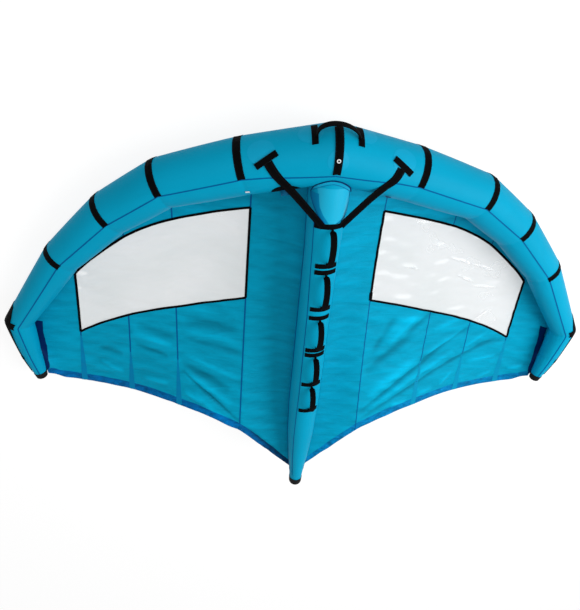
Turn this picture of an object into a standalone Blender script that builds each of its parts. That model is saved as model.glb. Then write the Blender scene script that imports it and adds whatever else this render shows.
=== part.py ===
import math

import bmesh
import bpy
from mathutils import Matrix, Vector

# Inflatable hand-held wing, parked upside down: strut and handles up, canopy down.
# Wing frame: x to the side, y towards the leading edge, z towards the strut side.
# Stations count outwards from the middle along the leading edge, 0 to 7 a side.

# Overall sizes, metres
halfSpan = 1.63
rootChord = 2.05
tipDrop = 0.25
leRadius = 0.128
strutRadius = 0.086

# Rest pose: the pitch tips the wing onto its leading edge and tips
restPitch = math.radians(-3.31)
restLift = 0.261
restShift = 0.979

# Cloth, bladder and webbing thicknesses, and the clearances between layers
sleeveWall = 0.002
bladderWall = 0.0015
bladderGap = 0.0006
canopyWall = 0.0016
filmWall = 0.0012
bandWall = 0.0014
webWall = 0.0024
capWall = 0.0022
layGap = 0.0004
seamGap = 0.0008
patchLift = 0.001
stackGap = 0.0007

# Facets round the tubes
tubeSides = 24
bladderSides = 12

# Leading edge stations as shares of halfSpan, rootChord, tipDrop and leRadius
leShares = [
    (0.0, 0.0, 0.0, 1.0),
    (0.233, 0.048, 0.28, 1.0),
    (0.457, 0.103, 0.46, 0.91),
    (0.6135, 0.189, 0.66, 0.855),
    (0.774, 0.316, 0.82, 0.72),
    (0.953, 0.522, 1.0, 0.56),
    (0.938, 0.622, 1.0, 0.41),
    (0.9175, 0.705, 1.0, 0.22),
]

# Strut stations: shares of rootChord aft, of leRadius up, of strutRadius
strutShares = [
    (0.0146, -0.08, 1.14),
    (0.0634, -0.12, 1.116),
    (0.2195, -0.23, 1.0),
    (0.439, -0.35, 0.99),
    (0.6195, -0.35, 1.0),
    (0.7073, -0.35, 0.995),
    (0.8195, -0.31, 0.895),
    (0.912, -0.235, 0.686),
    (0.9634, -0.195, 0.523),
    (1.0, -0.17, 0.44),
    (1.0195, -0.16, 0.415),
]

# Trailing edge, by share of the length of the leading edge from the middle:
# shares of halfSpan, rootChord and tipDrop
trailShares = [
    (0.0, 0.0, 1.0, 0.24),
    (0.153, 0.2095, 0.852, 0.36),
    (0.331, 0.4356, 0.792, 0.76),
    (0.463, 0.6135, 0.768, 1.12),
    (0.619, 0.786, 0.7495, 1.28),
    (0.845, 0.852, 0.731, 1.2),
    (0.926, 0.88, 0.7145, 1.14),
    (0.97, 0.9, 0.6985, 1.1),
]

# Belly of the canopy below its chord, as shares of rootChord, by the same length
bellyShares = [(0.0, 0.018), (0.153, 0.037), (0.331, 0.032), (0.463, 0.014),
               (0.619, 0.006), (0.845, 0.003), (1.0, 0.0)]

# Rows of the canopy at the strut, and the window's front and rear edges by share of
# halfSpan, all as shares of rootChord
strutRowShares = [0.0, 0.0634, 0.146, 0.2195, 0.329, 0.439, 0.6195, 0.7073, 0.8195,
                  0.912, 0.9824, 1.0]
windowEdgeShares = [
    (0.2117, 0.1756, 0.4293),
    (0.457, 0.219, 0.478),
    (0.6135, 0.276, 0.52),
    (0.774, 0.393, 0.583),
    (0.97, 0.6, 0.65),
]
canopyAngle = math.radians(255)
hemWidth = 0.048
bindWidth = 0.012

columns = [0.0, 0.45, 0.907, 1.0, 1.5, 2.0, 2.5, 3.0, 3.5, 4.0, 4.5, 5.0, 6.0, 6.6]
windowColumns = (2, 9)
windowRows = (2, 5)
hemRow = 10
lastRow = 11
# the two window rows: least shares of the chord, shares at the tip, and the hem's limit
leastRowShares = (0.12, 0.4)
tipRowShares = (0.3, 0.6)
mostHemShare = 0.2

# Seam bands across the leading edge, and the wear guard on the tip by station
bandWidth = 0.034
bandFrom = math.radians(-90)
bandTo = math.radians(97.5)
guardFrom = math.radians(-60)
guardRows = [(4.77, math.radians(32)), (4.88, math.radians(52)), (5, math.radians(66)),
             (5.5, math.radians(54)), (6, math.radians(50)), (6.7, math.radians(48))]
guardSteps = 14
guardLift = 0.0018
tipCapLength = 0.03
tipCapDome = 0.012

# Strut tail cap
tailCapLength = 0.032
tailCapDome = 0.03

# Bladder ends
bladderEnd = 0.035
bladderStation = 6.7
strutBladderFrom = 0.165
strutBladderShort = 0.11
portRadius = 0.012

# Centre strap and leash eyelet on the leading edge
strapWidth = 0.033
strapFrom = math.radians(20)
strapTo = math.radians(115)
eyeletAngle = math.radians(88)
eyeletRadius = 0.009
eyeletBore = 0.0035
eyeletHeight = 0.003

# Front handle: two bars and an arched grip
barAcross = 0.026
frontBarAt = 0.088
frontBarFrom = math.radians(3)
frontBarTo = math.radians(52)
frontGripAngle = math.radians(38)
frontGripLift = 0.0115
frontGripHeight = 0.066
frontGripTurn = math.radians(20)
frontGripLean = math.radians(-14)
frontGripRound = 1.0

# Grips: elliptical webbing handles with round ends on their hinge lines
gripWidth = 0.031
gripThick = 0.008
gripEnd = 0.0055
gripEndLength = 0.007
gripHeight = 0.058
gripRound = 0.8
gripSides = 10
gripSteps = 12

# Bars across the strut, at shares of rootChord, and the roll of the handle line
barShares = [0.257, 0.2737, 0.378, 0.4039, 0.5029, 0.5185, 0.6166, 0.7088]
barWidth = 0.024
barHalfAngle = math.radians(38)
strutSeamBars = (1, 4)
handleRoll = math.radians(14)
gripLean = math.radians(-9)

# V strap: a bar sewn along the leading edge on each side, and a bar on the strut
teeAt = 0.272
teeAngle = math.radians(67)
teeSkew = math.radians(27)
teeLength = 0.101
teeWidth = 0.027
vStrapWidth = 0.041
vBaseShare = 0.155
vBaseHalfAngle = math.radians(46)
vBaseRoll = math.radians(5)
vBaseWidth = 0.026
vLandAngle = math.radians(28)
strapSteps = 24
tautPasses = 12
placePasses = 6

# Inflation valve on the left of the strut
valveStation = 0.55
valveAngle = math.radians(155)
valvePatchRadius = 0.065
valvePatchWall = 0.001
valveFlange = 0.03
valveFlangeWall = 0.003
valveBarrel = 0.019
valveBore = 0.013
valveDepth = 0.012
valveCapRadius = 0.027
valveCapWall = 0.034
valveCapEdge = 0.003
valveHoleGap = 0.0012
valvePatchGap = 0.003

# Cutters run this far past what they cut; directions are found over a probe step
overrun = 0.02
probe = 0.01

blue = (0.0, 0.30, 0.52)
paleBlue = (0.0, 0.42, 0.62)
deepBlue = (0.0, 0.16, 0.42)
black = (0.012, 0.012, 0.014)
clear = (0.85, 0.88, 0.9)
milky = (0.75, 0.75, 0.7)
white = (0.9, 0.9, 0.9)

for item in list(bpy.data.objects):
    bpy.data.objects.remove(item, do_unlink=True)

partCollection = bpy.data.collections.new("wingfoil_wing")
cutCollection = bpy.data.collections.new("cutters")
for group in (partCollection, cutCollection):
    bpy.context.scene.collection.children.link(group)

pitchMatrix = Matrix.Rotation(restPitch, 4, "X")


def place(point):
    """Wing frame to the parked pose."""
    turned = pitchMatrix @ Vector(point)
    return turned + Vector((0, restShift, restLift))


def turn(direction):
    return pitchMatrix.to_3x3() @ Vector(direction)


def mirrored(point, side):
    return Vector((point[0] * side, point[1], point[2]))


def smoothTable(table, at):
    """Smooth curve through the rows of a table whose first column is the place."""
    rows = [row if isinstance(row, tuple) else (row,) for row in table]
    last = len(rows) - 1
    k = 0
    while k < last - 1 and at > rows[k + 1][0]:
        k += 1
    before, low, high, after = (rows[max(k - 1, 0)], rows[k], rows[k + 1],
                                rows[min(k + 2, last)])
    step = high[0] - low[0]
    u = (at - low[0]) / step
    result = []
    for c in range(1, len(low)):
        slopeLow = (high[c] - before[c]) / (high[0] - before[0]) * step
        slopeHigh = (after[c] - low[c]) / (after[0] - low[0]) * step
        result.append((2 * u ** 3 - 3 * u ** 2 + 1) * low[c]
                      + (u ** 3 - 2 * u ** 2 + u) * slopeLow
                      + (3 * u ** 2 - 2 * u ** 3) * high[c]
                      + (u ** 3 - u ** 2) * slopeHigh)
    return result


def lineTable(table, at):
    last = len(table) - 1
    k = 0
    while k < last - 1 and at > table[k + 1][0]:
        k += 1
    low, high = table[k], table[k + 1]
    u = (at - low[0]) / (high[0] - low[0])
    return [low[c] + (high[c] - low[c]) * u for c in range(1, len(low))]


# Leading edge tube

leCentres = [Vector((x * halfSpan, -y * rootChord, -z * tipDrop)) for x, y, z, r in leShares]
leRadii = [share[3] * leRadius for share in leShares]


def leFrame(k):
    """Centre, outward (forward) and upward directions of the ring at a station."""
    if k == 0:
        along = Vector((1, 0, 0))
    elif k == len(leCentres) - 1:
        along = leCentres[k] - leCentres[k - 1]
    else:
        along = ((leCentres[k] - leCentres[k - 1]).normalized()
                 + (leCentres[k + 1] - leCentres[k]).normalized())
    along.normalize()
    front = Vector((0, 0, 1)).cross(along).normalized()
    return leCentres[k], front, along.cross(front)


def lePoint(side, station, angle, off=0.0):
    """Point on the tube's skin, angle 0 in front and 90 degrees on the strut side."""
    k = min(int(station), len(leCentres) - 2)
    share = station - k
    ends = []
    for n in (k, k + 1):
        centre, front, up = leFrame(n)
        ends.append(centre + (leRadii[n] + off) * (math.cos(angle) * front
                                                   + math.sin(angle) * up))
    return mirrored(ends[0].lerp(ends[1], share), side)


def lePlace(point):
    """Station and angle of a point near the right half, and its height over the skin."""
    station = leStationAt(max(point.x, 0.0))
    for _ in range(placePasses):
        k = min(int(station), len(leCentres) - 2)
        centre = leCentres[k].lerp(leCentres[k + 1], station - k)
        front = lePoint(1, station, 0.0) - centre
        up = lePoint(1, station, math.pi / 2) - centre
        away = point - centre
        station = max(station + away.dot(front.cross(up).normalized()) / leLength(station), 0)
    a, b = away.dot(front) / front.length, away.dot(up) / up.length
    angle = math.atan2(b, a)
    return station, angle, math.hypot(a, b) - (lePoint(1, station, angle) - centre).length


def leNormal(side, station, angle):
    """Direction straight out of the tube's skin."""
    near = probe
    around = lePoint(side, station, angle + near) - lePoint(side, station, angle - near)
    along = lePoint(side, station + near, angle) - lePoint(side, station - near, angle)
    return (around.cross(along) * side).normalized()


def leRing(side, station, off, sides):
    return [lePoint(side, station, 2 * math.pi * n / sides, off) for n in range(sides)]


def leStationAt(x):
    """Station where the tube's centre line is x out from the middle."""
    k = 0
    while k < len(leCentres) - 2 and leCentres[k + 1].x < x:
        k += 1
    return k + (x - leCentres[k].x) / (leCentres[k + 1].x - leCentres[k].x)


def lengthShare(station):
    """Length along the tube's centre line up to a station, as a share of all of it."""
    runs = [(b - a).length for a, b in zip(leCentres, leCentres[1:])]
    k = min(int(station), len(runs) - 1)
    return (sum(runs[:k]) + (station - k) * runs[k]) / sum(runs)


def leLength(station):
    """Length of the segment that a station lies in."""
    k = min(int(station), len(leCentres) - 2)
    return (leCentres[k + 1] - leCentres[k]).length


# Strut tube

strutRows = [(y * rootChord, z * leRadius, r * strutRadius) for y, z, r in strutShares]


def strutAt(aft):
    height, radius = lineTable(strutRows, aft)
    return height, radius


def strutPoint(aft, angle, off=0.0):
    """Point on the strut's skin, angle 0 on the strut side and positive to the right."""
    height, radius = strutAt(aft)
    reach = radius + off
    return Vector((reach * math.sin(angle), -aft, height + reach * math.cos(angle)))


# Mesh helpers

def paint(part, colour, roughness, metallic=0.0):
    skin = bpy.data.materials.new(part.name)
    skin.use_nodes = True
    shader = skin.node_tree.nodes["Principled BSDF"]
    shader.inputs["Base Color"].default_value = (*colour, 1)
    shader.inputs["Roughness"].default_value = roughness
    shader.inputs["Metallic"].default_value = metallic
    skin.diffuse_color = (*colour, 1)
    part.data.materials.clear()
    part.data.materials.append(skin)


def newPart(name, shape, colour, roughness=0.6, metallic=0.0, group=None):
    mesh = bpy.data.meshes.new(name)
    shape.to_mesh(mesh)
    shape.free()
    part = bpy.data.objects.new(name, mesh)
    (group or partCollection).objects.link(part)
    paint(part, colour, roughness, metallic)
    mesh.shade_smooth()
    mesh.set_sharp_from_angle(angle=math.radians(40))
    return part


def loft(rings, capStart=None, capEnd=None, joined=False):
    """Skin through rings of wing-frame points, closed round; caps are a point or True,
    and a joined loft runs from its last ring back to its first."""
    shape = bmesh.new()
    loops = [[shape.verts.new(place(point)) for point in ring] for ring in rings]
    count = len(loops[0])
    pairs = list(zip(loops, loops[1:] + loops[:1])) if joined else zip(loops, loops[1:])
    for a, b in pairs:
        for n in range(count):
            m = (n + 1) % count
            shape.faces.new((a[n], a[m], b[m], b[n]))
    for loop, cap in ((loops[0], capStart), (loops[-1], capEnd)):
        if cap is None:
            continue
        if cap is True:
            shape.faces.new(loop)
            continue
        tip = shape.verts.new(place(cap))
        for n in range(count):
            shape.faces.new((loop[n], loop[(n + 1) % count], tip))
    faceOutward(shape, loops)
    return shape


def faceOutward(shape, loops):
    """Turn the faces of a tube out, away from the middle of its first two rings."""
    bmesh.ops.recalc_face_normals(shape, faces=shape.faces)
    shape.normal_update()
    corners = loops[0] + loops[1]
    hub = sum((v.co for v in corners), Vector()) / len(corners)
    side = next(face for face in loops[0][0].link_faces
                if any(v in loops[1] for v in face.verts))
    if side.normal.dot(side.calc_center_median() - hub) < 0:
        bmesh.ops.reverse_faces(shape, faces=shape.faces)


def sheet(grid, upwards=None, closed=False):
    """Open skin over a grid of wing-frame points, its normals along upwards; a grid
    has None where it has no cloth."""
    shape = bmesh.new()
    rows = [[point and shape.verts.new(place(point)) for point in row] for row in grid]
    wide = len(rows[0])
    for a, b in zip(rows, rows[1:]):
        for n in range(wide if closed else wide - 1):
            m = (n + 1) % wide
            if None not in (a[n], a[m], b[m], b[n]):
                shape.faces.new((a[n], a[m], b[m], b[n]))
    bmesh.ops.recalc_face_normals(shape, faces=shape.faces)
    shape.normal_update()
    towards = turn(upwards or (0, 0, 1))
    if sum(face.normal.dot(towards) * face.calc_area() for face in shape.faces) < 0:
        bmesh.ops.reverse_faces(shape, faces=shape.faces)
    return shape


def thicken(part, wall, offset):
    """Solidify: offset 1 builds out along the normals, -1 in, 0 both ways."""
    solid = part.modifiers.new("wall", "SOLIDIFY")
    solid.thickness = wall
    solid.offset = offset
    solid.use_even_offset = True
    return solid


def cut(part, cutter, operation="DIFFERENCE"):
    tool = part.modifiers.new(cutter.name, "BOOLEAN")
    tool.operation = operation
    tool.solver = "EXACT"
    tool.object = cutter


def asCutter(part):
    part.hide_render = True
    part.display_type = "WIRE"
    return part


def rod(name, start, end, radius, sides=24):
    """Straight round cutter between two wing-frame points."""
    a, b = place(start), place(end)
    shape = bmesh.new()
    bmesh.ops.create_cone(shape, cap_ends=True, segments=sides, radius1=radius,
                          radius2=radius, depth=(b - a).length)
    spin = (b - a).to_track_quat("Z", "Y").to_matrix().to_4x4()
    bmesh.ops.transform(shape, matrix=Matrix.Translation((a + b) / 2) @ spin,
                        verts=shape.verts)
    return asCutter(newPart(name, shape, white, group=cutCollection))


def setOrigin(part, pivot):
    """Move an object's origin onto its hinge line without moving its shape."""
    spot = place(pivot)
    part.data.transform(Matrix.Translation(-spot))
    part.location = spot


def sideName(side):
    return "r" if side > 0 else "l"


# Leading edge sleeves, bladder, bands, patches and end caps

def leSleeve(name, side, start, end):
    segment = [start] + [n for n in range(len(leCentres)) if start < n < end] + [end]
    gap = seamGap / 2
    segment[0] = start + gap / leLength(start)
    if end < len(leCentres) - 1:
        segment[-1] = end - gap / leLength(end - gap)
    rings = [leRing(side, at, 0.0, tubeSides) for at in segment]
    rings += [leRing(side, at, -sleeveWall, tubeSides) for at in reversed(segment)]
    return newPart(name, loft(rings, joined=True), blue)


def leBladder(valveCutter):
    inset = -(sleeveWall + bladderGap)
    stations = [n for n in range(len(leCentres)) if n < bladderStation] + [bladderStation]
    rings = []
    for at in reversed(stations[1:]):
        rings.append(leRing(-1, at, inset, bladderSides))
    for at in stations:
        rings.append(leRing(1, at, inset, bladderSides))
    tips = []
    for side in (-1, 1):
        centre = leCentres[-2].lerp(leCentres[-1], bladderStation - int(bladderStation))
        along = (leCentres[-1] - leCentres[-2]).normalized()
        tips.append(mirrored(centre + along * bladderEnd / 2, side))
    part = newPart("le_bladder", loft(rings, tips[0], tips[1]), milky, 0.4)
    thicken(part, bladderWall, -1)
    cut(part, valveCutter)


def arcStrip(side, stations, start, end, off, steps):
    angles = [start + (end - start) * n / steps for n in range(steps + 1)]
    return [[lePoint(side, at, angle, off) for angle in angles] for at in stations]


def leBand(side, station):
    inner = station - bandWidth / 2 / leLength(station - 0.5)
    outer = station + bandWidth / 2 / leLength(station)
    # the arc keeps the facets of the tube, then ends on the long seam
    facet = 2 * math.pi / tubeSides
    whole = int((bandTo - bandFrom) / facet)
    angles = [bandFrom + facet * n for n in range(whole + 1)] + [bandTo]
    grid = [[lePoint(side, at, angle, layGap) for angle in angles]
            for at in (inner, station, outer)]
    part = newPart("seam_band_%d_%s" % (station, sideName(side)),
                   sheet(grid, (0, 1, 0)), black, 0.8)
    thicken(part, bandWall, 1)


def tipGuard(side):
    """Black wear patch round the outside of the tip's bend and on to the end cap."""
    grid = [[lePoint(side, at, guardFrom + (to - guardFrom) * n / guardSteps, guardLift)
             for n in range(guardSteps + 1)] for at, to in guardRows]
    part = newPart("tip_guard_" + sideName(side), sheet(grid, (side, 0, 0)), black, 0.85)
    thicken(part, bandWall, 1)


def tipCap(side):
    last = len(leCentres) - 1
    along = (leCentres[last] - leCentres[last - 1]).normalized()
    start = last - tipCapLength / leLength(last)
    rim = leRing(1, last, layGap, tubeSides)
    centre = leCentres[last]
    rings = [leRing(1, start, layGap, tubeSides)]
    for along_share, radius_share in ((0.06, 1.0), (0.6, 0.8), (0.95, 0.45)):
        rings.append([centre + (point - centre) * radius_share
                      + along * tipCapDome * along_share for point in rim])
    rings = [[mirrored(point, side) for point in ring] for ring in rings]
    tip = mirrored(centre + along * tipCapDome, side)
    part = newPart("tip_cap_" + sideName(side), loft(rings, None, tip), black, 0.8)
    thicken(part, capWall, 1)


# Strut sleeve, bladder and tail cap

def strutRing(aft, off, sides):
    return [strutPoint(aft, 2 * math.pi * n / sides, off) for n in range(sides)]


def strutSleeve():
    """Three lengths of sleeve, sewn together under two of the bars."""
    first, last = strutRows[0][0], strutRows[-1][0]
    seams = [barShares[number - 1] * rootChord for number in strutSeamBars]
    starts = [first] + [aft + seamGap / 2 for aft in seams]
    ends = [aft - seamGap / 2 for aft in seams] + [last]
    parts = []
    for name, start, end in zip(("front", "middle", "rear"), starts, ends):
        aft = [start] + [row[0] for row in strutRows if start < row[0] < end] + [end]
        rings = [strutRing(at, 0.0, tubeSides) for at in aft]
        rings += [strutRing(at, -sleeveWall, tubeSides) for at in reversed(aft)]
        parts.append(newPart("strut_sleeve_" + name, loft(rings, joined=True), blue))
    sleeveCutter = newPart(
        "le_cutter",
        loft([leRing(-1, 1, layGap, tubeSides), leRing(1, 0, layGap, tubeSides),
              leRing(1, 1, layGap, tubeSides)], True, True),
        white, group=cutCollection)
    cut(parts[0], asCutter(sleeveCutter))


def strutBladder():
    inset = -(sleeveWall + bladderGap)
    tail = strutRows[-1][0] - strutBladderShort
    places = [strutBladderFrom] + [row[0] for row in strutRows
                                   if strutBladderFrom < row[0] < tail] + [tail]
    rings = [strutRing(aft, inset, bladderSides) for aft in places]
    # the open port that air comes in by, at the leading edge's end
    height, radius = strutAt(places[0])
    port = strutRing(places[0], portRadius - radius, bladderSides)
    rings.insert(0, [point + Vector((0, bladderEnd / 2, 0)) for point in port])
    height, radius = strutAt(tail)
    end = Vector((0, -(tail + bladderEnd / 2), height))
    part = newPart("strut_bladder", loft(rings, None, end), milky, 0.4)
    thicken(part, bladderWall, -1)


def tailCap():
    endAft = strutRows[-1][0]
    height, radius = strutAt(endAft)
    rings = [strutRing(endAft - tailCapLength, layGap, tubeSides),
             strutRing(endAft, layGap, tubeSides)]
    # the row of the strut between the cap's lip and its end keeps the two apart
    between = [row[0] for row in strutRows if endAft - tailCapLength < row[0] < endAft]
    for aft in between:
        rings.insert(1, strutRing(aft, layGap, tubeSides))
    for aft_share, radius_share in ((0.06, 0.98), (0.5, 0.8), (0.9, 0.4)):
        middle = Vector((0, -(endAft + tailCapDome * aft_share), height))
        rings.append([middle + (point + Vector((0, endAft, -height))) * radius_share
                      for point in strutRing(endAft, layGap, tubeSides)])
    tip = Vector((0, -(endAft + tailCapDome), height))
    part = newPart("strut_tail_cap", loft(rings, None, tip), black, 0.8)
    thicken(part, capWall, 1)


# Canopy

def strutUnderside(aft):
    height, radius = strutAt(aft)
    return height - radius - layGap - canopyWall / 2


def chordEnds(station):
    """Where the cloth meets the leading edge and where it ends, right half."""
    lead = lePoint(1, station, canopyAngle, layGap + canopyWall / 2)
    x, y, z = smoothTable(trailShares, lengthShare(station))
    return lead, Vector((x * halfSpan, -y * rootChord, -z * tipDrop))


def canopyPoint(station, share):
    """Middle of the cloth at a station and a share of its chord, right half."""
    lead, trail = chordEnds(station)
    point = lead.lerp(trail, share)
    belly = smoothTable(bellyShares, lengthShare(station))[0] * rootChord
    point.z -= belly * math.sin(math.pi * share ** 0.8)
    return point


def rowShare(station, row):
    """Share of the chord of a row, outboard of the window's inner side."""
    lead, trail = chordEnds(station)
    edges = smoothTable(windowEdgeShares, min(lead.x / halfSpan, windowEdgeShares[-1][0]))
    fan = max(station - columns[windowColumns[1]], 0) / (columns[-1] - columns[windowColumns[1]])
    top, bottom = [max((lead.y + edge * rootChord) / (lead.y - trail.y), least)
                   for edge, least in zip(edges, leastRowShares)]
    top += (tipRowShares[0] - top) * fan
    bottom += (tipRowShares[1] - bottom) * fan
    hem = 1 - min(hemWidth / (trail - lead).length, mostHemShare)
    first, second = windowRows
    if row <= first:
        return top * row / first
    if row <= second:
        return top + (bottom - top) * (row - first) / (second - first)
    if row <= hemRow:
        return bottom + (hem - bottom) * (row - second) / (hemRow - second)
    return 1.0


def canopyNode(column, row):
    """Grid point of the canopy, its rows fanned to the strut's own stations."""
    inner = columns[windowColumns[0]]
    station = columns[column]
    if station >= inner:
        return canopyPoint(station, rowShare(station, row))
    outer = canopyPoint(inner, rowShare(inner, row))
    if row == 0:
        return canopyPoint(station, 0.0)
    aft = strutRowShares[row] * rootChord
    root = Vector((0, -aft, strutUnderside(aft)))
    share = leCentres[0].lerp(leCentres[1], station).x / outer.x
    point = root.lerp(outer, share)
    sag = bellyShares[0][1] * rootChord * math.sin(math.pi * share) / 2
    point.z -= sag * math.sin(math.pi * row / lastRow)
    return point


def shrinkGrid(grid, trims):
    """Pull the sides of a grid in along the cloth: trims are first row, last row,
    first column and last column."""
    first, last, left, right = trims
    result = [[point.copy() for point in row] for row in grid]
    for rows, step, trim in ((0, 1, first), (-1, -2, last)):
        if trim:
            for n, point in enumerate(grid[rows]):
                way = (grid[step][n] - point).normalized()
                result[rows][n] = result[rows][n] + way * trim
    for col, step, trim in ((0, 1, left), (-1, -2, right)):
        if trim:
            for n, row in enumerate(grid):
                way = (row[step] - row[col]).normalized()
                result[n][col] = result[n][col] + way * trim
    return result


def canopyPanel(name, side, cols, rows, colour, wall, trims, roughness=0.5):
    grid = [[canopyNode(c, r) for c in range(cols[0], cols[1] + 1)]
            for r in range(rows[0], rows[1] + 1)]
    grid = shrinkGrid(grid, trims)
    grid = [[mirrored(point, side) for point in row] for row in grid]
    part = newPart("%s_%s" % (name, sideName(side)), sheet(grid), colour, roughness)
    thicken(part, wall, 0)
    return part


def windowBinding(side):
    """Tape over the joint between window and cloth, one loop with the window open."""
    c0, c1 = windowColumns
    r0, r1 = windowRows
    ring = ([(c, r0) for c in range(c0, c1)] + [(c1, r) for r in range(r0, r1)]
            + [(c, r1) for c in range(c1, c0, -1)] + [(c0, r) for r in range(r1, r0, -1)])
    lift = canopyWall / 2 + stackGap
    inner, outer = [], []
    for c, r in ring:
        point = canopyNode(c, r)
        acrossIn, acrossOut = Vector(), Vector()
        if c == c0:
            acrossIn += (canopyNode(c + 1, r) - point).normalized()
            acrossOut += (canopyNode(c - 1, r) - point).normalized()
        if c == c1:
            acrossIn += (canopyNode(c - 1, r) - point).normalized()
            acrossOut += (canopyNode(c + 1, r) - point).normalized()
        if r == r0:
            acrossIn += (canopyNode(c, r + 1) - point).normalized()
            acrossOut += (canopyNode(c, r - 1) - point).normalized()
        if r == r1:
            acrossIn += (canopyNode(c, r - 1) - point).normalized()
            acrossOut += (canopyNode(c, r + 1) - point).normalized()
        up = Vector((0, 0, lift))
        inner.append(mirrored(point + acrossIn * bindWidth / 2 + up, side))
        outer.append(mirrored(point + acrossOut * bindWidth / 2 + up, side))
    part = newPart("window_binding_" + sideName(side),
                   sheet([outer, inner], None, True), black, 0.8)
    thicken(part, bandWall, 1)


def canopyHalf(side):
    seam = seamGap / 2
    c0, c1 = windowColumns
    r0, r1 = windowRows
    lastColumn = len(columns) - 1
    canopyPanel("canopy_inner", side, (0, c0), (0, hemRow), blue, canopyWall,
                (0, seam, seam, seam))
    canopyPanel("canopy_front", side, (c0, c1), (0, r0), paleBlue, canopyWall,
                (0, seam, seam, seam))
    canopyPanel("canopy_rear", side, (c0, c1), (r1, hemRow), paleBlue, canopyWall,
                (seam, seam, seam, seam))
    canopyPanel("canopy_tip", side, (c1, lastColumn), (0, hemRow), blue, canopyWall,
                (0, seam, seam, 0))
    canopyPanel("window", side, (c0, c1), (r0, r1), clear, filmWall,
                (seam, seam, seam, seam), 0.1)
    canopyPanel("trailing_hem", side, (0, lastColumn), (hemRow, lastRow), deepBlue,
                canopyWall, (seam, 0, seam, 0))
    windowBinding(side)


# Straps, bars and grips

def centreStrap():
    steps = 14
    edge = strapWidth / 2 / leCentres[1].x
    grid = []
    for n in range(steps + 1):
        angle = strapFrom + (strapTo - strapFrom) * n / steps
        grid.append([lePoint(-1, edge, angle, patchLift), lePoint(1, 0.0, angle, patchLift),
                     lePoint(1, edge, angle, patchLift)])
    part = newPart("centre_strap", sheet(grid, (0, 1, 1)), black, 0.85)
    thicken(part, webWall, 1)


def turned(name, profile, base, axis, colour, roughness=0.5, metallic=0.0, sides=24):
    """Round piece: a profile of radius and height spun about an axis at a point."""
    mesh = bpy.data.meshes.new(name)
    count = len(profile)
    mesh.from_pydata([(r, 0, h) for r, h in profile], [(n, (n + 1) % count)
                                                     for n in range(count)], [])
    part = bpy.data.objects.new(name, mesh)
    partCollection.objects.link(part)
    paint(part, colour, roughness, metallic)
    spin = part.modifiers.new("turn", "SCREW")
    spin.steps = sides
    spin.render_steps = sides
    spin.use_merge_vertices = True
    spin.merge_threshold = layGap / 10
    spin.use_normal_calculate = True
    spin.use_smooth_shade = False
    frame = turn(axis).to_track_quat("Z", "Y").to_matrix().to_4x4()
    part.matrix_world = Matrix.Translation(place(base)) @ frame
    return part


def leashEyelet():
    base = lePoint(1, 0.0, eyeletAngle, patchLift + webWall + layGap)
    axis = Vector((0, math.cos(eyeletAngle), math.sin(eyeletAngle)))
    edge = eyeletHeight / 3
    profile = [(eyeletRadius, 0), (eyeletBore, 0), (eyeletBore, eyeletHeight),
               (eyeletRadius - edge, eyeletHeight), (eyeletRadius, eyeletHeight - edge)]
    turned("leash_eyelet", profile, base, axis, white, 0.3, 0.6)


def gripRings(start, end, peakDir, height, roundness):
    """Rings of a webbing grip arched between two hinge-line points."""
    axis = (end - start).normalized()
    length = (end - start).length
    run = length - 2 * gripEndLength
    peak = peakDir.normalized()
    spots = [(0.0, 0.0), (gripEndLength / 2, 0.0)]
    for n in range(gripSteps + 1):
        turnShare = n / gripSteps
        along = gripEndLength + run * (1 - math.cos(math.pi * turnShare)) / 2
        rise = height * math.sin(math.pi * turnShare) ** roundness
        spots.append((along, rise))
    spots += [(length - gripEndLength / 2, 0.0), (length, 0.0)]
    lines = [start + axis * a + peak * h for a, h in spots]
    across = axis.cross(peak)
    rings = []
    last = len(lines) - 1
    for n, point in enumerate(lines):
        if n in (0, last):
            way = axis
        else:
            way = (lines[n + 1] - lines[n - 1]).normalized()
        normal = across.cross(way).normalized()
        swell = min(spots[n][1] / (height / 3), 1.0)
        half = gripEnd + (gripWidth / 2 - gripEnd) * swell
        thick = gripEnd + (gripThick / 2 - gripEnd) * swell
        rings.append([point + across * half * math.cos(a) + normal * thick * math.sin(a)
                      for a in (2 * math.pi * k / gripSides for k in range(gripSides))])
    return rings


def grip(name, start, end, peakDir, height, roundness):
    rings = gripRings(start, end, peakDir, height, roundness)
    part = newPart(name, loft(rings, True, True), black, 0.85)
    setOrigin(part, (start + end) / 2)
    return part


def frontHandle():
    station = leStationAt(frontBarAt)
    half = barAcross / 2 / leLength(station)
    for side in (-1, 1):
        steps = 7
        grid = arcStrip(side, (station - half, station, station + half),
                        frontBarFrom, frontBarTo, patchLift, steps)
        part = newPart("front_bar_" + sideName(side), sheet(grid, (0, 1, 1)), black, 0.85)
        thicken(part, webWall, 1)
    foot = lePoint(1, station, frontGripAngle, frontGripLift)
    peak = Vector((math.tan(frontGripLean), math.cos(frontGripTurn), math.sin(frontGripTurn)))
    grip("front_grip", mirrored(foot, -1), foot, peak, frontGripHeight, frontGripRound)


def strutBar(number, aft, halfAngle, width, roll, name=None):
    steps = 8
    angles = [roll - halfAngle + 2 * halfAngle * n / steps for n in range(steps + 1)]
    grid = [[strutPoint(aft + width * share, angle, patchLift) for angle in angles]
            for share in (-0.5, 0.0, 0.5)]
    part = newPart(name or "strut_bar_%d" % number, sheet(grid), black, 0.85)
    thicken(part, webWall, 1)


def strutGrip(number, frontAft, rearAft):
    off = gripEnd + layGap
    start = strutPoint(frontAft, handleRoll, off)
    end = strutPoint(rearAft, handleRoll, off)
    lean = handleRoll + gripLean
    peak = Vector((math.sin(lean), 0, math.cos(lean)))
    axis = (end - start).normalized()
    peak = (peak - axis * peak.dot(axis)).normalized()
    grip("strut_grip_%d" % number, start, end, peak, gripHeight, gripRound)


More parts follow.
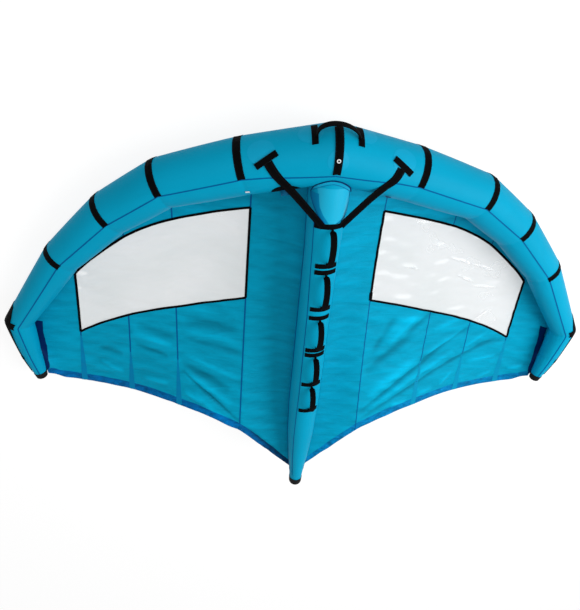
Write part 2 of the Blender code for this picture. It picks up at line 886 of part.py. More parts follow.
def strutHandles():
    aft = [share * rootChord for share in barShares]
    for number, place_aft in enumerate(aft, 1):
        strutBar(number, place_aft, barHalfAngle, barWidth, handleRoll)
    base = vBaseShare * rootChord
    strutBar(0, base, vBaseHalfAngle, vBaseWidth, vBaseRoll, "v_strap_base")
    clear = barWidth / 2 + layGap
    clearBase = vBaseWidth / 2 + layGap
    strutGrip(1, base + clearBase, aft[0] - clear)
    strutGrip(2, aft[1] + clear, aft[2] - clear)
    strutGrip(3, aft[3] + clear, aft[4] - clear)
    strutGrip(4, aft[5] + clear, aft[6] - clear)
    strutGrip(5, aft[6] + clear, aft[7] - clear)


def pushOut(point, off):
    """Lift a point on the right half out of the leading edge tube, and give the way out."""
    station, angle, height = lePlace(point)
    skin = lePoint(1, station, angle, off)
    out = leNormal(1, station, angle)
    inside = height < off
    return (skin if inside else point), out, inside


def offStrut(point, off):
    """Lift a point straight up until it clears the strut."""
    height, radius = strutAt(max(-point.y, strutRows[0][0]))
    reach = radius + off
    if abs(point.x) >= reach:
        return point
    least = height + math.sqrt(reach ** 2 - point.x ** 2)
    return Vector((point.x, point.y, max(point.z, least)))


def vStrap(side):
    """Webbing from a crosswise bar on the leading edge, straight to the strut's base bar."""
    station = leStationAt(teeAt)
    arm = vStrapWidth / 2
    tip = teeLength / 2
    runs = [-tip, -(tip + arm) / 2, -arm, 0.0, arm, (tip + arm) / 2, tip]

    def teePoint(run, over):
        along = run * math.cos(teeSkew) - over * math.sin(teeSkew)
        around = run * math.sin(teeSkew) + over * math.cos(teeSkew)
        return lePoint(1, station + along / leLength(station),
                       teeAngle + around / leRadius, patchLift)

    grid = [[teePoint(run, teeWidth * share) for run in runs] for share in (-0.5, 0.0, 0.5)]
    start = grid[-1][3]
    landOff = patchLift + webWall + layGap
    aft = vBaseShare * rootChord
    end = strutPoint(aft + vBaseWidth / 3, vLandAngle + side * handleRoll, landOff)
    endOut = Vector((0, 0, 1))
    points = [start.lerp(end, n / strapSteps) for n in range(strapSteps + 1)]
    for _ in range(tautPasses):
        for n in range(1, strapSteps):
            points[n] = pushOut((points[n - 1] + points[n + 1]) / 2, patchLift)[0]
    line = [pushOut(point, patchLift + layGap) for point in points]
    laid = max(n for n in range(strapSteps + 1) if line[n][2] or n == 0)
    for n in range(1, strapSteps + 1):
        point, out, inside = line[n]
        if n > laid:
            out = line[laid][1].lerp(endOut, (n - laid) / (strapSteps - laid))
        way = (line[min(n + 1, strapSteps)][0] - line[n - 1][0]).normalized()
        out = (out - way * out.dot(way)).normalized()
        across = way.cross(out)
        row = [offStrut(point + across * reach, landOff) for reach in (arm, 0.0, -arm)]
        grid.append([None, None] + row + [None, None])
    grid = [[point and mirrored(point, side) for point in row] for row in grid]
    part = newPart("v_strap_" + sideName(side), sheet(grid, (0, 1, 1)), black, 0.85)
    thicken(part, webWall, 1)


# Valve

def valve():
    base = lePoint(-1, valveStation, valveAngle)
    axis = leNormal(-1, valveStation, valveAngle)
    across = axis.orthogonal().normalized()
    other = axis.cross(across)
    rings = []
    hole = valveBarrel + valvePatchGap
    for share in (0.0, 0.25, 0.5, 0.75, 1.0):
        reach = hole + (valvePatchRadius - hole) * share
        ring = []
        for n in range(tubeSides):
            a = 2 * math.pi * n / tubeSides
            flat = base + (across * math.cos(a) + other * math.sin(a)) * reach
            station, angle, height = lePlace(mirrored(flat, -1))
            ring.append(lePoint(-1, station, angle, patchLift))
        rings.append(ring)
    patch = newPart("valve_patch", sheet(rings, axis, True), black, 0.8)
    thicken(patch, valvePatchWall, 1)
    low = patchLift + valvePatchWall + stackGap
    high = low + valveFlangeWall
    edge = valveFlangeWall / 3
    profile = [(valveFlange, low), (valveBarrel, low), (valveBarrel, low - valveDepth),
               (valveBore, low - valveDepth), (valveBore, high),
               (valveFlange - edge, high), (valveFlange, high - edge)]
    turned("valve_base", profile, base, axis, deepBlue, 0.4)
    floor = high + layGap
    capProfile = [(valveCapRadius, floor), (0, floor), (0, floor + valveCapWall),
                  (valveCapRadius - valveCapEdge, floor + valveCapWall),
                  (valveCapRadius, floor + valveCapWall - valveCapEdge)]
    cap = solidTurned("valve_cap", capProfile, axis, base)
    outward = (lePoint(-1, valveStation + probe, valveAngle) - base).normalized()
    outward = (outward - axis * outward.dot(axis)).normalized()
    pivot = base + axis * floor + outward * valveCapRadius
    setOrigin(cap, pivot)


def solidTurned(name, profile, axis, base, sides=24):
    """Solid round piece built as rings between its two flat faces."""
    axis = Vector(axis).normalized()
    across = axis.orthogonal().normalized()
    other = axis.cross(across)
    rings = []
    for radius, height in [p for p in profile if p[0] > 0]:
        rings.append([base + axis * height + across * radius * math.cos(a)
                      + other * radius * math.sin(a)
                      for a in (2 * math.pi * n / sides for n in range(sides))])
    order = [rings[0], rings[-1], rings[-2]]
    return newPart(name, loft(order, True, True), deepBlue, 0.4)


def valveHole():
    base = lePoint(-1, valveStation, valveAngle)
    axis = leNormal(-1, valveStation, valveAngle)
    return rod("valve_cutter", base - axis * (sleeveWall + bladderGap + overrun),
               base + axis * overrun, valveBarrel + valveHoleGap)


valveCutter = valveHole()

for side in (-1, 1):
    print("building side", sideName(side))
    inner = leSleeve("le_sleeve_inner_" + sideName(side), side, 0, 2)
    if side < 0:
        cut(inner, valveCutter)
    leSleeve("le_sleeve_outer_" + sideName(side), side, 2, len(leCentres) - 1)
    for station in (1, 2, 3, 4):
        leBand(side, station)
    tipGuard(side)
    tipCap(side)
    canopyHalf(side)
    vStrap(side)

leBladder(valveCutter)
strutSleeve()
strutBladder()
tailCap()
centreStrap()
leashEyelet()
frontHandle()
strutHandles()
valve()
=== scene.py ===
import math
from types import SimpleNamespace

import bpy
import numpy as np
from mathutils import Matrix, Vector


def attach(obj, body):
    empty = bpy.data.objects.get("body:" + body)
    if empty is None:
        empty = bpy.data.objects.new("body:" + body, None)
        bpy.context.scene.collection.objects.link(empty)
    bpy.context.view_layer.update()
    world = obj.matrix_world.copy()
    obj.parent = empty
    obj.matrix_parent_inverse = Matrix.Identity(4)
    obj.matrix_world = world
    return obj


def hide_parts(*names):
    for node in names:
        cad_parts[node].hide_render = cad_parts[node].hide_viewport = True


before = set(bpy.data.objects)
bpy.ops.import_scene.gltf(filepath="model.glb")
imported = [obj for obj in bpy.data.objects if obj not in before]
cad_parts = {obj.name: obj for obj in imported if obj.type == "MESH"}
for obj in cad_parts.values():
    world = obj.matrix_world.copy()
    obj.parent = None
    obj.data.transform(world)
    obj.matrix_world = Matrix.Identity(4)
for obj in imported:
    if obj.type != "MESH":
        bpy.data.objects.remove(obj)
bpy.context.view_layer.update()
scene = bpy.context.scene
bpy.ops.object.select_all(action="DESELECT")
print("frame loaded,", len(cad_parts), "nodes")

# The wing lies strut side up. Wing axes: x to the side, y to the leading edge, z up.
# Stations count along the leading edge from the middle, negative on the left.

sides = ((-1, "l"), (1, "r"))
wing = {
    "halfSpan": 1.63, "rootChord": 2.05, "tipDrop": 0.25, "tubeRadius": 0.128,
    "strutRadius": 0.086, "pitch": math.radians(-3.31), "lift": 0.261, "shift": 0.979,
    "canopyAngle": math.radians(255), "clothLift": 0.0012,
}
tubeTable = np.array([  # shares of halfSpan, rootChord, tipDrop and tubeRadius
    (0.0, 0.0, 0.0, 1.0), (0.233, 0.048, 0.28, 1.0), (0.457, 0.103, 0.46, 0.91),
    (0.6135, 0.189, 0.66, 0.855), (0.774, 0.316, 0.82, 0.72), (0.953, 0.522, 1.0, 0.56),
    (0.938, 0.622, 1.0, 0.41), (0.9175, 0.705, 1.0, 0.22)])
strutTable = np.array([  # shares of rootChord aft, of tubeRadius up and of strutRadius
    (0.0146, -0.08, 1.14), (0.0634, -0.12, 1.116), (0.2195, -0.23, 1.0),
    (0.439, -0.35, 0.99), (0.6195, -0.35, 1.0), (0.7073, -0.35, 0.995),
    (0.8195, -0.31, 0.895), (0.912, -0.235, 0.686), (0.9634, -0.195, 0.523),
    (1.0, -0.17, 0.44), (1.0195, -0.16, 0.415)])
trailTable = np.array([  # share of the tube's length, then of halfSpan, rootChord, tipDrop
    (0.0, 0.0, 1.0, 0.24), (0.153, 0.2095, 0.852, 0.36), (0.331, 0.4356, 0.792, 0.76),
    (0.463, 0.6135, 0.768, 1.12), (0.619, 0.786, 0.7495, 1.28), (0.845, 0.852, 0.731, 1.2),
    (0.926, 0.88, 0.7145, 1.14), (0.97, 0.9, 0.708, 1.1)])
bellyTable = np.array([  # share of the tube's length, sag as a share of rootChord
    (0.0, 0.018), (0.153, 0.037), (0.331, 0.032), (0.463, 0.014), (0.619, 0.006),
    (0.845, 0.003), (1.0, 0.0)])
rowTable = np.array([0.0, 0.0634, 0.146, 0.2195, 0.329, 0.439, 0.6195, 0.7073, 0.8195,
                     0.912, 0.9824, 1.0])
windowTable = np.array([(0.2117, 0.1756, 0.4293), (0.457, 0.219, 0.478),
                        (0.6135, 0.276, 0.52), (0.774, 0.393, 0.583), (0.97, 0.6, 0.65)])
columnTable = np.array([0.0, 0.45, 0.907, 1.0, 1.5, 2.0, 2.5, 3.0, 3.5, 4.0, 4.5, 5.0,
                        6.0, 6.6])
windowSpan = (0.907, 4.0)      # stations of the window's sides
windowRows = (0.146, 0.439)    # rows of its front and rear edges
hemStart = 0.9824
lastStation = columnTable[-1]
sheet = {"leastShares": (0.12, 0.4), "tipShares": (0.3, 0.6), "hemWidth": 0.048,
         "hemMost": 0.2, "bellyPower": 0.8}
seamShift = {  # how far each side's sewn lines lie from the even stations
    -1: np.array([(0, 0), (0.907, 0.0475), (2, 0.03), (3, 0), (7, 0)]),
    1: np.array([(0, 0), (0.907, 0.025), (2, 0.03), (3, 0.02), (4, 0), (7, 0)]),
}
windowShift = {  # how far each window's front edge lies from its row, by station
    -1: np.array([(0, 0), (1.2, 0), (2.1, 0.0055), (3.1, 0.0147), (4.2, 0.015), (5, 0)]),
    1: np.array([(0, 0), (0.9, -0.004), (2.1, -0.006), (3.2, 0.002), (4.2, 0), (5, 0)]),
}


def place(points):
    points = np.asarray(points, float)
    c, s = math.cos(wing["pitch"]), math.sin(wing["pitch"])
    y = points[..., 1] * c - points[..., 2] * s + wing["shift"]
    z = points[..., 1] * s + points[..., 2] * c + wing["lift"]
    return np.stack([points[..., 0], y, z], -1)


def turn(direction):
    return Matrix.Rotation(wing["pitch"], 3, "X") @ Vector(direction)


def unit(vectors):
    vectors = np.asarray(vectors, float)
    return vectors / np.linalg.norm(vectors, axis=-1, keepdims=True)


def span(low, high):
    return lambda share: low + (high - low) * share


def through(values):
    return lambda share: np.interp(share, np.linspace(0, 1, len(values)), values)


def lookUp(rows, at, column=1):
    return np.interp(at, rows[:, 0], rows[:, column])


def sameShape(*values):
    return np.broadcast_arrays(*[np.asarray(value, float) for value in values])


def curveWeights(knots, at):
    knots = np.asarray(knots, float)
    at = np.atleast_1d(np.asarray(at, float))
    last = len(knots) - 1
    k = np.clip(np.searchsorted(knots, at, side="right") - 1, 0, last - 1)
    before, after = np.maximum(k - 1, 0), np.minimum(k + 2, last)
    step = knots[k + 1] - knots[k]
    u = (at - knots[k]) / step
    low = 2 * u ** 3 - 3 * u ** 2 + 1
    high = 3 * u ** 2 - 2 * u ** 3
    slopeLow = (u ** 3 - 2 * u ** 2 + u) * step / (knots[k + 1] - knots[before])
    slopeHigh = (u ** 3 - u ** 2) * step / (knots[after] - knots[k])
    weights = np.zeros((len(at), last + 1))
    rows = np.arange(len(at))
    np.add.at(weights, (rows, k), low - slopeHigh)
    np.add.at(weights, (rows, k + 1), high + slopeLow)
    np.add.at(weights, (rows, before), -slopeLow)
    np.add.at(weights, (rows, after), slopeHigh)
    return weights


def smooth(rows, at):
    return curveWeights(rows[:, 0], at) @ rows[:, 1:]


def bump(x):
    return np.clip(1 - np.asarray(x) ** 2, 0, 1) ** 2


# Leading edge tube

tube = {"puff": 0.0016, "pinch": 0.0014, "pinchWidth": 0.014, "gather": 0.0007,
        "gatherReach": 0.05, "gatherCount": 23}

centres = np.stack([tubeTable[:, 0] * wing["halfSpan"], -tubeTable[:, 1] * wing["rootChord"],
                    -tubeTable[:, 2] * wing["tipDrop"]], -1)
radii = tubeTable[:, 3] * wing["tubeRadius"]
runs = np.linalg.norm(np.diff(centres, axis=0), axis=1)
legs = unit(np.diff(centres, axis=0))
alongs = unit(np.concatenate([[(1.0, 0, 0)], legs[:-1] + legs[1:], legs[-1:]]))
fronts = unit(np.cross((0, 0, 1.0), alongs))
ups = np.cross(alongs, fronts)


def stationAt(x):
    return float(np.interp(x, centres[:6, 0], np.arange(6)))


def lengthTo(station):
    return np.interp(np.abs(station), np.arange(8), np.concatenate([[0], np.cumsum(runs)]))


def radiusAt(station):
    return np.interp(np.abs(station), np.arange(8), radii)


def tubeSkin(station, angle, off=0.0, puffed=True):
    station, angle, off = sameShape(station, angle, off)
    side = np.where(station < 0, -1.0, 1.0)
    at = np.abs(station)
    k = np.minimum(at.astype(int), 6)
    t = at - k
    if puffed:
        bend = np.round(at)
        apart = np.abs(at - bend) * runs[k]
        belly = np.where(k == 0, np.cos(np.pi / 2 * t), np.sin(np.pi * t))
        seam = np.exp(-(apart / tube["pinchWidth"]) ** 2) * ((bend > 0) & (bend < 6.5))
        creased = np.exp(-apart / tube["gatherReach"]) * ((bend > 0) & (at < 6.5))
        waves = np.sin(angle * tube["gatherCount"] + at * 5 + 2 * np.sin(angle * 7 + side))
        off = (off + tube["puff"] * belly - tube["pinch"] * seam
               + tube["gather"] * waves * creased)
    ends = []
    for n in (k, k + 1):
        reach = (radii[n] + off)[..., None]
        ends.append(centres[n] + reach * (np.cos(angle)[..., None] * fronts[n]
                                          + np.sin(angle)[..., None] * ups[n]))
    points = ends[0] + (ends[1] - ends[0]) * t[..., None]
    points[..., 0] *= side
    return points


def tubeOut(station, angle):
    return unit(tubeSkin(station, angle, 0.01) - tubeSkin(station, angle))


# Strut tube

joint = {  # where the strut's skin leaves the tube, and the sewn arch over its front end
    "from": 0.03, "to": 0.26, "trials": 461, "clear": 0.0006, "reach": 0.014,
    "arch": ((-0.222, 151), (-0.195, 142), (-0.15, 137), (-0.10, 134), (-0.03, 134),
             (0.055, 134.5), (0.105, 135), (0.16, 139), (0.225, 151)),
    "ends": ((0.165, -66), (0.165, 74)), "out": unit((0, -0.5, 0.85)),
}
strutRows = strutTable * (wing["rootChord"], wing["tubeRadius"], wing["strutRadius"])
strutEnd = strutRows[-1, 0]


def strutAt(aft):
    return lookUp(strutRows, aft), lookUp(strutRows, aft, 2)


def strutSkin(aft, angle, off=0.0):
    aft, angle, off = sameShape(aft, angle, off)
    height, radius = strutAt(aft)
    reach = radius + off
    return np.stack([reach * np.sin(angle), -aft, height + reach * np.cos(angle)], -1)


def tubeHeight(points):
    away = np.stack([np.abs(points[..., 0]), points[..., 1], points[..., 2]], -1) - centres[0]
    away = away - (away @ legs[0])[..., None] * legs[0]
    return np.linalg.norm(away, axis=-1) - wing["tubeRadius"]


def jointAft(angle):
    trial = np.linspace(joint["from"], joint["to"], joint["trials"])
    points = strutSkin(trial[None, :], np.atleast_1d(angle)[:, None])
    return trial[np.argmax(tubeHeight(points) > joint["clear"], axis=1)]


# Canopy surface

def canopyLead(station):
    return tubeSkin(station, wing["canopyAngle"], wing["clothLift"], puffed=False)


def trailingPoint(station):
    x, y, z = smooth(trailTable, lengthTo(station) / lengthTo(7)).T
    return np.stack([x * wing["halfSpan"], -y * wing["rootChord"], -z * wing["tipDrop"]], -1)


def chordPoint(station, share):
    station, share = np.atleast_1d(station), np.atleast_1d(share)
    lead = canopyLead(station)
    point = lead + (trailingPoint(station) - lead) * share[:, None]
    belly = smooth(bellyTable, lengthTo(station) / lengthTo(7))[:, 0] * wing["rootChord"]
    point[:, 2] -= belly * np.sin(np.pi * share ** sheet["bellyPower"])
    return point


def rowShares(station):
    lead, trail = canopyLead(station), trailingPoint(station)[0]
    edges = smooth(windowTable, min(lead[0] / wing["halfSpan"], windowTable[-1, 0]))[0]
    fan = max(station - windowSpan[1], 0) / (lastStation - windowSpan[1])
    shares = []
    for edge, least, atTip in zip(edges, sheet["leastShares"], sheet["tipShares"]):
        share = max((lead[1] + edge * wing["rootChord"]) / (lead[1] - trail[1]), least)
        shares.append(share + (atTip - share) * fan)
    hem = 1 - min(sheet["hemWidth"] / np.linalg.norm(trail - lead), sheet["hemMost"])
    return np.interp(np.arange(12), [0, 2, 5, 10, 11], [0] + shares + [hem, 1])


def canopyNodes():
    rows, cols = len(rowTable), len(columnTable)
    nodes = np.zeros((rows, cols, 3))
    for c, station in enumerate(columnTable):
        if station >= windowSpan[0]:
            nodes[:, c] = chordPoint(np.full(rows, station), rowShares(station))
    edge = nodes[:, 2]
    height, radius = strutAt(rowTable * wing["rootChord"])
    root = np.stack([0 * height, -rowTable * wing["rootChord"],
                     height - radius - wing["clothLift"]], -1)
    for c in (0, 1):
        share = centres[1, 0] * columnTable[c] / edge[:, 0]
        nodes[:, c] = root + (edge - root) * share[:, None]
        sag = bellyTable[0, 1] * wing["rootChord"] * np.sin(np.pi * share) / 2
        nodes[:, c, 2] -= sag * np.sin(np.pi * np.arange(rows) / (rows - 1))
        nodes[0, c] = chordPoint(columnTable[c], 0.0)[0]
    return nodes


clothNodes = canopyNodes()

# Folds in the cloth: from x, y to x, y in wing metres, width and height in millimetres
# Each fold also sets painted shade in the cloth colour where it sinks and a painted highlight
# where it rises.
folds = [
    (-0.989, -1.168, -0.755, -1.229, 22, 5), (-0.976, -1.251, -0.777, -1.304, 14, -5),
    (-0.720, -1.325, -0.420, -1.470, 24, -6), (-0.699, -1.270, -0.363, -1.395, 18, 5),
    (-0.690, -1.378, -0.408, -1.570, 20, 6), (-0.710, -1.375, -0.350, -1.690, 9, -6),
    (-0.653, -1.451, -0.447, -1.597, 8, -3), (-0.696, -1.119, -0.360, -1.155, 20, 5),
    (-0.697, -1.167, -0.358, -1.223, 18, -4), (-1.179, -1.383, -1.049, -1.454, 14, 4),
    (-0.940, -1.472, -0.782, -1.484, 14, 4), (-0.694, -1.514, -0.585, -1.585, 14, 4),
    (-0.356, -1.680, -0.047, -1.975, 8, -3), (0.340, -1.635, 0.870, -1.215, 12, -6),
    (0.700, -1.330, 1.020, -1.085, 11, -5), (0.360, -1.670, 1.000, -1.300, 11, -5),
    (0.850, -1.390, 1.200, -1.190, 12, -5), (0.400, -1.600, 0.981, -1.231, 18, 5),
    (0.359, -1.348, 0.650, -1.110, 26, -5), (0.389, -1.510, 0.720, -1.260, 30, 6),
    (0.387, -1.241, 0.514, -0.983, 20, -4), (0.590, -1.130, 0.740, -0.970, 16, -4),
    (0.482, -1.175, 0.630, -1.003, 22, 5), (0.740, -1.265, 0.970, -1.120, 18, 5),
    (1.035, -1.361, 1.230, -1.322, 14, 4), (0.987, -1.256, 1.130, -1.129, 14, 4),
    (0.562, -1.593, 0.673, -1.573, 12, 4), (0.736, -1.543, 0.837, -1.516, 12, 4),
    (0.883, -1.513, 0.956, -1.413, 12, 4), (1.138, -1.489, 1.233, -1.455, 12, 4),
    (1.327, -1.428, 1.433, -1.391, 12, 4), (-0.690, -1.060, -0.370, -1.080, 34, -4),
    (-0.960, -1.120, -0.730, -1.170, 26, -4), (-1.180, -1.290, -1.040, -1.330, 20, -4),
    (-0.640, -1.520, -0.380, -1.740, 22, 5), (0.420, -1.120, 0.700, -0.960, 30, 4),
    (0.760, -1.100, 0.960, -1.020, 22, 4), (1.060, -1.240, 1.240, -1.210, 16, -3),
    # The last five rows mark painted glints on the right window film, besides a slight rise.
    (0.740, -0.622, 1.064, -0.722, 5, 4),
    (0.826, -0.738, 0.943, -0.792, 4, 4), (0.918, -0.814, 1.105, -0.823, 4, 4),
    (0.507, -0.681, 0.602, -0.697, 3, 4), (1.000, -1.060, 1.110, -0.960, 9, 4),
]
# The fine ripples also add painted shade and highlight to the cloth colour.
ripple = {"fine": 0.0019, "rise": 1.5, "full": 0.005, "streak": 0.16,
          "flatRoot": 0.07, "edgeFade": 0.10, "rowFade": 0.1}
hemShade = {"depth": 0.9, "reach": 1.3, "x": -0.06, "width": 0.22}


def foldHeight(x, y):
    height = np.zeros_like(x)
    for x0, y0, x1, y1, width, depth in folds:
        dx, dy = x1 - x0, y1 - y0
        length = math.hypot(dx, dy)
        t = ((x - x0) * dx + (y - y0) * dy) / length ** 2
        d = ((x - x0) * dy - (y - y0) * dx) / length
        shape = (1 - np.clip(np.abs(2 * t - 1), 0, 1) ** 3) * np.exp(-(d / (width / 1000)) ** 2)
        height += depth / 1000 * shape
    return height


def fineRipple(x, y):
    lines = (np.sin(61 * y + 9 * x + 2.1 * np.sin(7 * x + 3)) * np.sin(11 * x + 5 * y)
             + 0.6 * np.sin(97 * y - 21 * x + 1.7 * np.sin(13 * x)) * np.sin(17 * x + 2))
    return ripple["fine"] * lines


# Painted shade and highlight: this vertex attribute darkens the cloth colour in fold valleys,
# lightens it on ridges, marks painted glints on the window film and darkens the left hem near the
# strut as painted shade.
def paintFoldShading(piece):
    mesh = piece.data
    spots = np.zeros(len(mesh.vertices) * 3)
    mesh.vertices.foreach_get("co", spots)
    x, y, z = spots.reshape(-1, 3).T
    c, s = math.cos(wing["pitch"]), math.sin(wing["pitch"])
    y = (y - wing["shift"]) * c + (z - wing["lift"]) * s
    value = (np.clip(foldHeight(x, y) / ripple["full"], -1, 1)
             + ripple["streak"] * fineRipple(x, y) / ripple["fine"])
    if "Hem" in piece.name:
        near = hemShade["reach"] - np.abs(x - hemShade["x"]) / hemShade["width"]
        value = value - hemShade["depth"] * np.clip(near, 0, 1) * (x < 0)
    mesh.attributes.new("fold", "FLOAT", "POINT").data.foreach_set("value", value)


def shifted(tables, at, side):
    return np.where(side < 0, lookUp(tables[-1], at), lookUp(tables[1], at))


def clothSkin(station, row, off=0.0):
    station, row, off = [values.ravel() for values in sameShape(station, row, off)]
    side = np.where(station < 0, -1.0, 1.0)
    at = np.abs(station)
    pull = np.interp(row, (0, windowRows[0], windowRows[1], 1), (0, 1, 0, 0))
    row = row + shifted(windowShift, at, side) * pull
    across = curveWeights(columnTable, at + shifted(seamShift, at, side))
    points = np.einsum("nr,rcd,nc->nd", curveWeights(rowTable, row), clothNodes, across)
    points[:, 0] *= side
    x, y = points[:, 0], points[:, 1]
    fade = (np.clip((np.abs(x) - ripple["flatRoot"]) / ripple["edgeFade"], 0, 1)
            * np.clip(row / ripple["rowFade"], 0, 1))
    points[:, 2] += (foldHeight(x, y) * ripple["rise"] + fineRipple(x, y)) * fade + off
    return points


# Mesh helpers

def finish(piece, body, nodes, material):
    piece.data.materials.clear()
    piece.data.materials.append(material)
    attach(piece, body)
    if nodes:
        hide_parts(*nodes)
    piece.select_set(False)
    return piece


def applyAll(piece):
    bpy.context.view_layer.objects.active = piece
    for modifier in list(piece.modifiers):
        bpy.ops.object.modifier_apply(modifier=modifier.name)


def editMesh(piece, *steps):
    bpy.ops.object.select_all(action="DESELECT")
    piece.select_set(True)
    bpy.context.view_layer.objects.active = piece
    bpy.ops.object.mode_set(mode="EDIT")
    bpy.ops.mesh.select_all(action="SELECT")
    for step in steps:
        step()
    bpy.ops.object.mode_set(mode="OBJECT")


def closeEnds(piece):
    editMesh(piece, lambda: bpy.ops.mesh.fill_holes(sides=0),
             lambda: bpy.ops.mesh.normals_make_consistent(inside=False))


# A skin gives points in wing axes by u, v and a lift. A wall above zero grows outwards, one
# below zero inwards, and none leaves the skin open. uv is a function, or the size of both ways.

def skinPiece(name, skin, steps, wall, uv, closed=False, smoothAngle=35):
    bpy.ops.object.select_all(action="DESELECT")
    bpy.ops.mesh.primitive_grid_add(x_subdivisions=steps[0], y_subdivisions=steps[1], size=2)
    piece = bpy.context.object
    piece.name = piece.data.name = name
    mesh = piece.data
    spots = np.zeros(len(mesh.vertices) * 3)
    mesh.vertices.foreach_get("co", spots)
    u, v = (spots.reshape(-1, 3)[:, 0] + 1) / 2, (spots.reshape(-1, 3)[:, 1] + 1) / 2
    points = place(skin(u, v, 0.0 * u))
    mesh.vertices.foreach_set("co", points.ravel())
    mesh.update()
    outer = place(skin(u, v, 0.0 * u + 0.002)) - points
    face = mesh.polygons[len(mesh.polygons) // 2]
    if face.normal.dot(Vector(outer[face.vertices[0]])) < 0:
        mesh.flip_normals()
    corners = np.zeros(len(mesh.loops), int)
    mesh.loops.foreach_get("vertex_index", corners)
    flat = uv(u, v) if callable(uv) else (u * uv[0], v * uv[1])
    mesh.uv_layers[0].data.foreach_set("uv", np.stack(flat, -1)[corners].ravel())
    if closed:
        editMesh(piece, lambda: bpy.ops.mesh.remove_doubles(threshold=1e-5))
    if wall:
        solid = piece.modifiers.new("wall", "SOLIDIFY")
        solid.thickness = abs(wall)
        solid.offset = 1 if wall > 0 else -1
        applyAll(piece)
    mesh.shade_smooth()
    mesh.set_sharp_from_angle(angle=math.radians(smoothAngle))
    return piece


def makePiece(name, skin, steps, wall, uv, nodes, slot, material, **shape):
    return finish(skinPiece(name, skin, steps, wall, uv, **shape), "wing", nodes, material)


def strip(surface, along, edges, lift):
    def skin(u, v, off):
        at = along(u)
        low, high = edges(at)
        return surface(at, low + (high - low) * v, lift + off)

    return skin


def bandUv(length, width):
    return lambda u, v: (v * length, (u - 0.5) * width)


# Materials

waveScale = 0.31416  # a wave texture of this scale has one band a metre


def nodesOf(tree):
    def connect(socket, value):
        if isinstance(value, bpy.types.NodeSocket):
            tree.links.new(value, socket)
        else:
            socket.default_value = value

    def add(kind, inputs=None, output=0, **settings):
        node = tree.nodes.new("ShaderNode" + kind)
        for key, value in settings.items():
            setattr(node, key, value)
        for key, value in (inputs or {}).items():
            connect(node.inputs[key], value)
        return node.outputs[output]

    def calc(operation, *values, **settings):
        return add("Math", dict(enumerate(values)), operation=operation, **settings)

    def ranged(*values):
        return add("MapRange", dict(enumerate(values)))

    def spread(value, low, high, middle, reach):
        return ranged(value, low, high, middle - reach, middle + reach)

    def noise(vector, scale, detail, **inputs):
        return add("TexNoise", dict(inputs, Vector=vector, Scale=scale, Detail=detail))

    def bands(vector, period, way):
        return add("TexWave", {"Vector": vector, "Scale": waveScale / period}, 1,
                   wave_type="BANDS", bands_direction=way)

    def bumps(height, strength, distance):
        return add("Bump", {"Height": height, "Strength": strength, "Distance": distance})

    def blend(factor, low, high, kind="MIX"):
        return add("Mix", {0: factor, 6: low, 7: high}, 2, data_type="RGBA", blend_type=kind)

    def setNode(node, **values):
        for key, value in values.items():
            connect(tree.nodes[node].inputs[key.replace("_", " ")], value)

    def shade(colour, rough, relief, specular, **more):
        setNode("Principled BSDF", Base_Color=colour, Roughness=rough, Normal=relief,
                Specular_IOR_Level=specular, **more)

    return SimpleNamespace(add=add, calc=calc, ranged=ranged, spread=spread, noise=noise,
                           bands=bands, bumps=bumps, blend=blend, setNode=setNode, shade=shade)


def newMaterial(name):
    material = bpy.data.materials.new(name)
    material.use_nodes = True
    return material, nodesOf(material.node_tree)


def srgb(r, g, b):
    return [((c / 255 + 0.055) / 1.055) ** 2.4 if c > 10 else c / 255 / 12.92
            for c in (r, g, b)] + [1.0]


def shaded(colour, share):
    return [c * share for c in colour[:3]] + [1.0]


def clothMaterial(name, look):
    material, make = newMaterial(name)
    weave = make.add("TexCoord", output="UV")
    broad = make.noise(make.add("TexCoord", output="Object"), look["patchScale"], 4.0,
                       Roughness=look["patchRough"])
    colour = make.blend(make.ranged(broad, 0.3, 0.7), shaded(look["colour"], 1 - look["patch"]),
                        shaded(look["colour"], 1 + look["patch"]))
    grid = [make.ranged(make.bands(weave, look["ripstop"], way), 0.9, 1.0) for way in "XY"]
    lines = make.calc("MAXIMUM", grid[0], grid[1])
    colour = make.blend(make.calc("MULTIPLY", lines, look["ripstopShow"]), colour,
                        shaded(look["colour"], look["ripstopLight"]))
    crinkle = make.noise(make.add("Mapping", {"Vector": weave, "Scale": look["crinkle"]}),
                         1.0, 6.0, Roughness=0.6, Distortion=0.6)
    # painted shade and highlight along the crinkles: the colour swings darker and lighter with
    # the crinkle noise
    dark = make.spread(crinkle, 0.35, 0.65, 1, look["streak"])
    # painted shade in the fold valleys and a painted highlight on the fold ridges, read from the
    # vertex attribute
    fold = make.add("Attribute", output="Fac", attribute_name="fold")
    dark = make.calc("MULTIPLY", dark, make.ranged(fold, -1.0, 0.0, look["valley"], 1.0))
    dark = make.calc("MULTIPLY", dark, make.ranged(fold, 0.0, 1.0, 1.0, look["ridge"]))
    colour = make.blend(1.0, colour, make.add("CombineColor", {0: dark, 1: dark, 2: dark}),
                        "MULTIPLY")
    relief = make.bumps(make.calc("MULTIPLY_ADD", lines, look["ripstopRise"], crinkle),
                        look["bump"], look["bumpDepth"])
    rough = make.spread(crinkle, 0.0, 1.0, look["roughness"], look["roughSpread"])
    make.shade(colour, rough, relief, look["specular"])
    return material


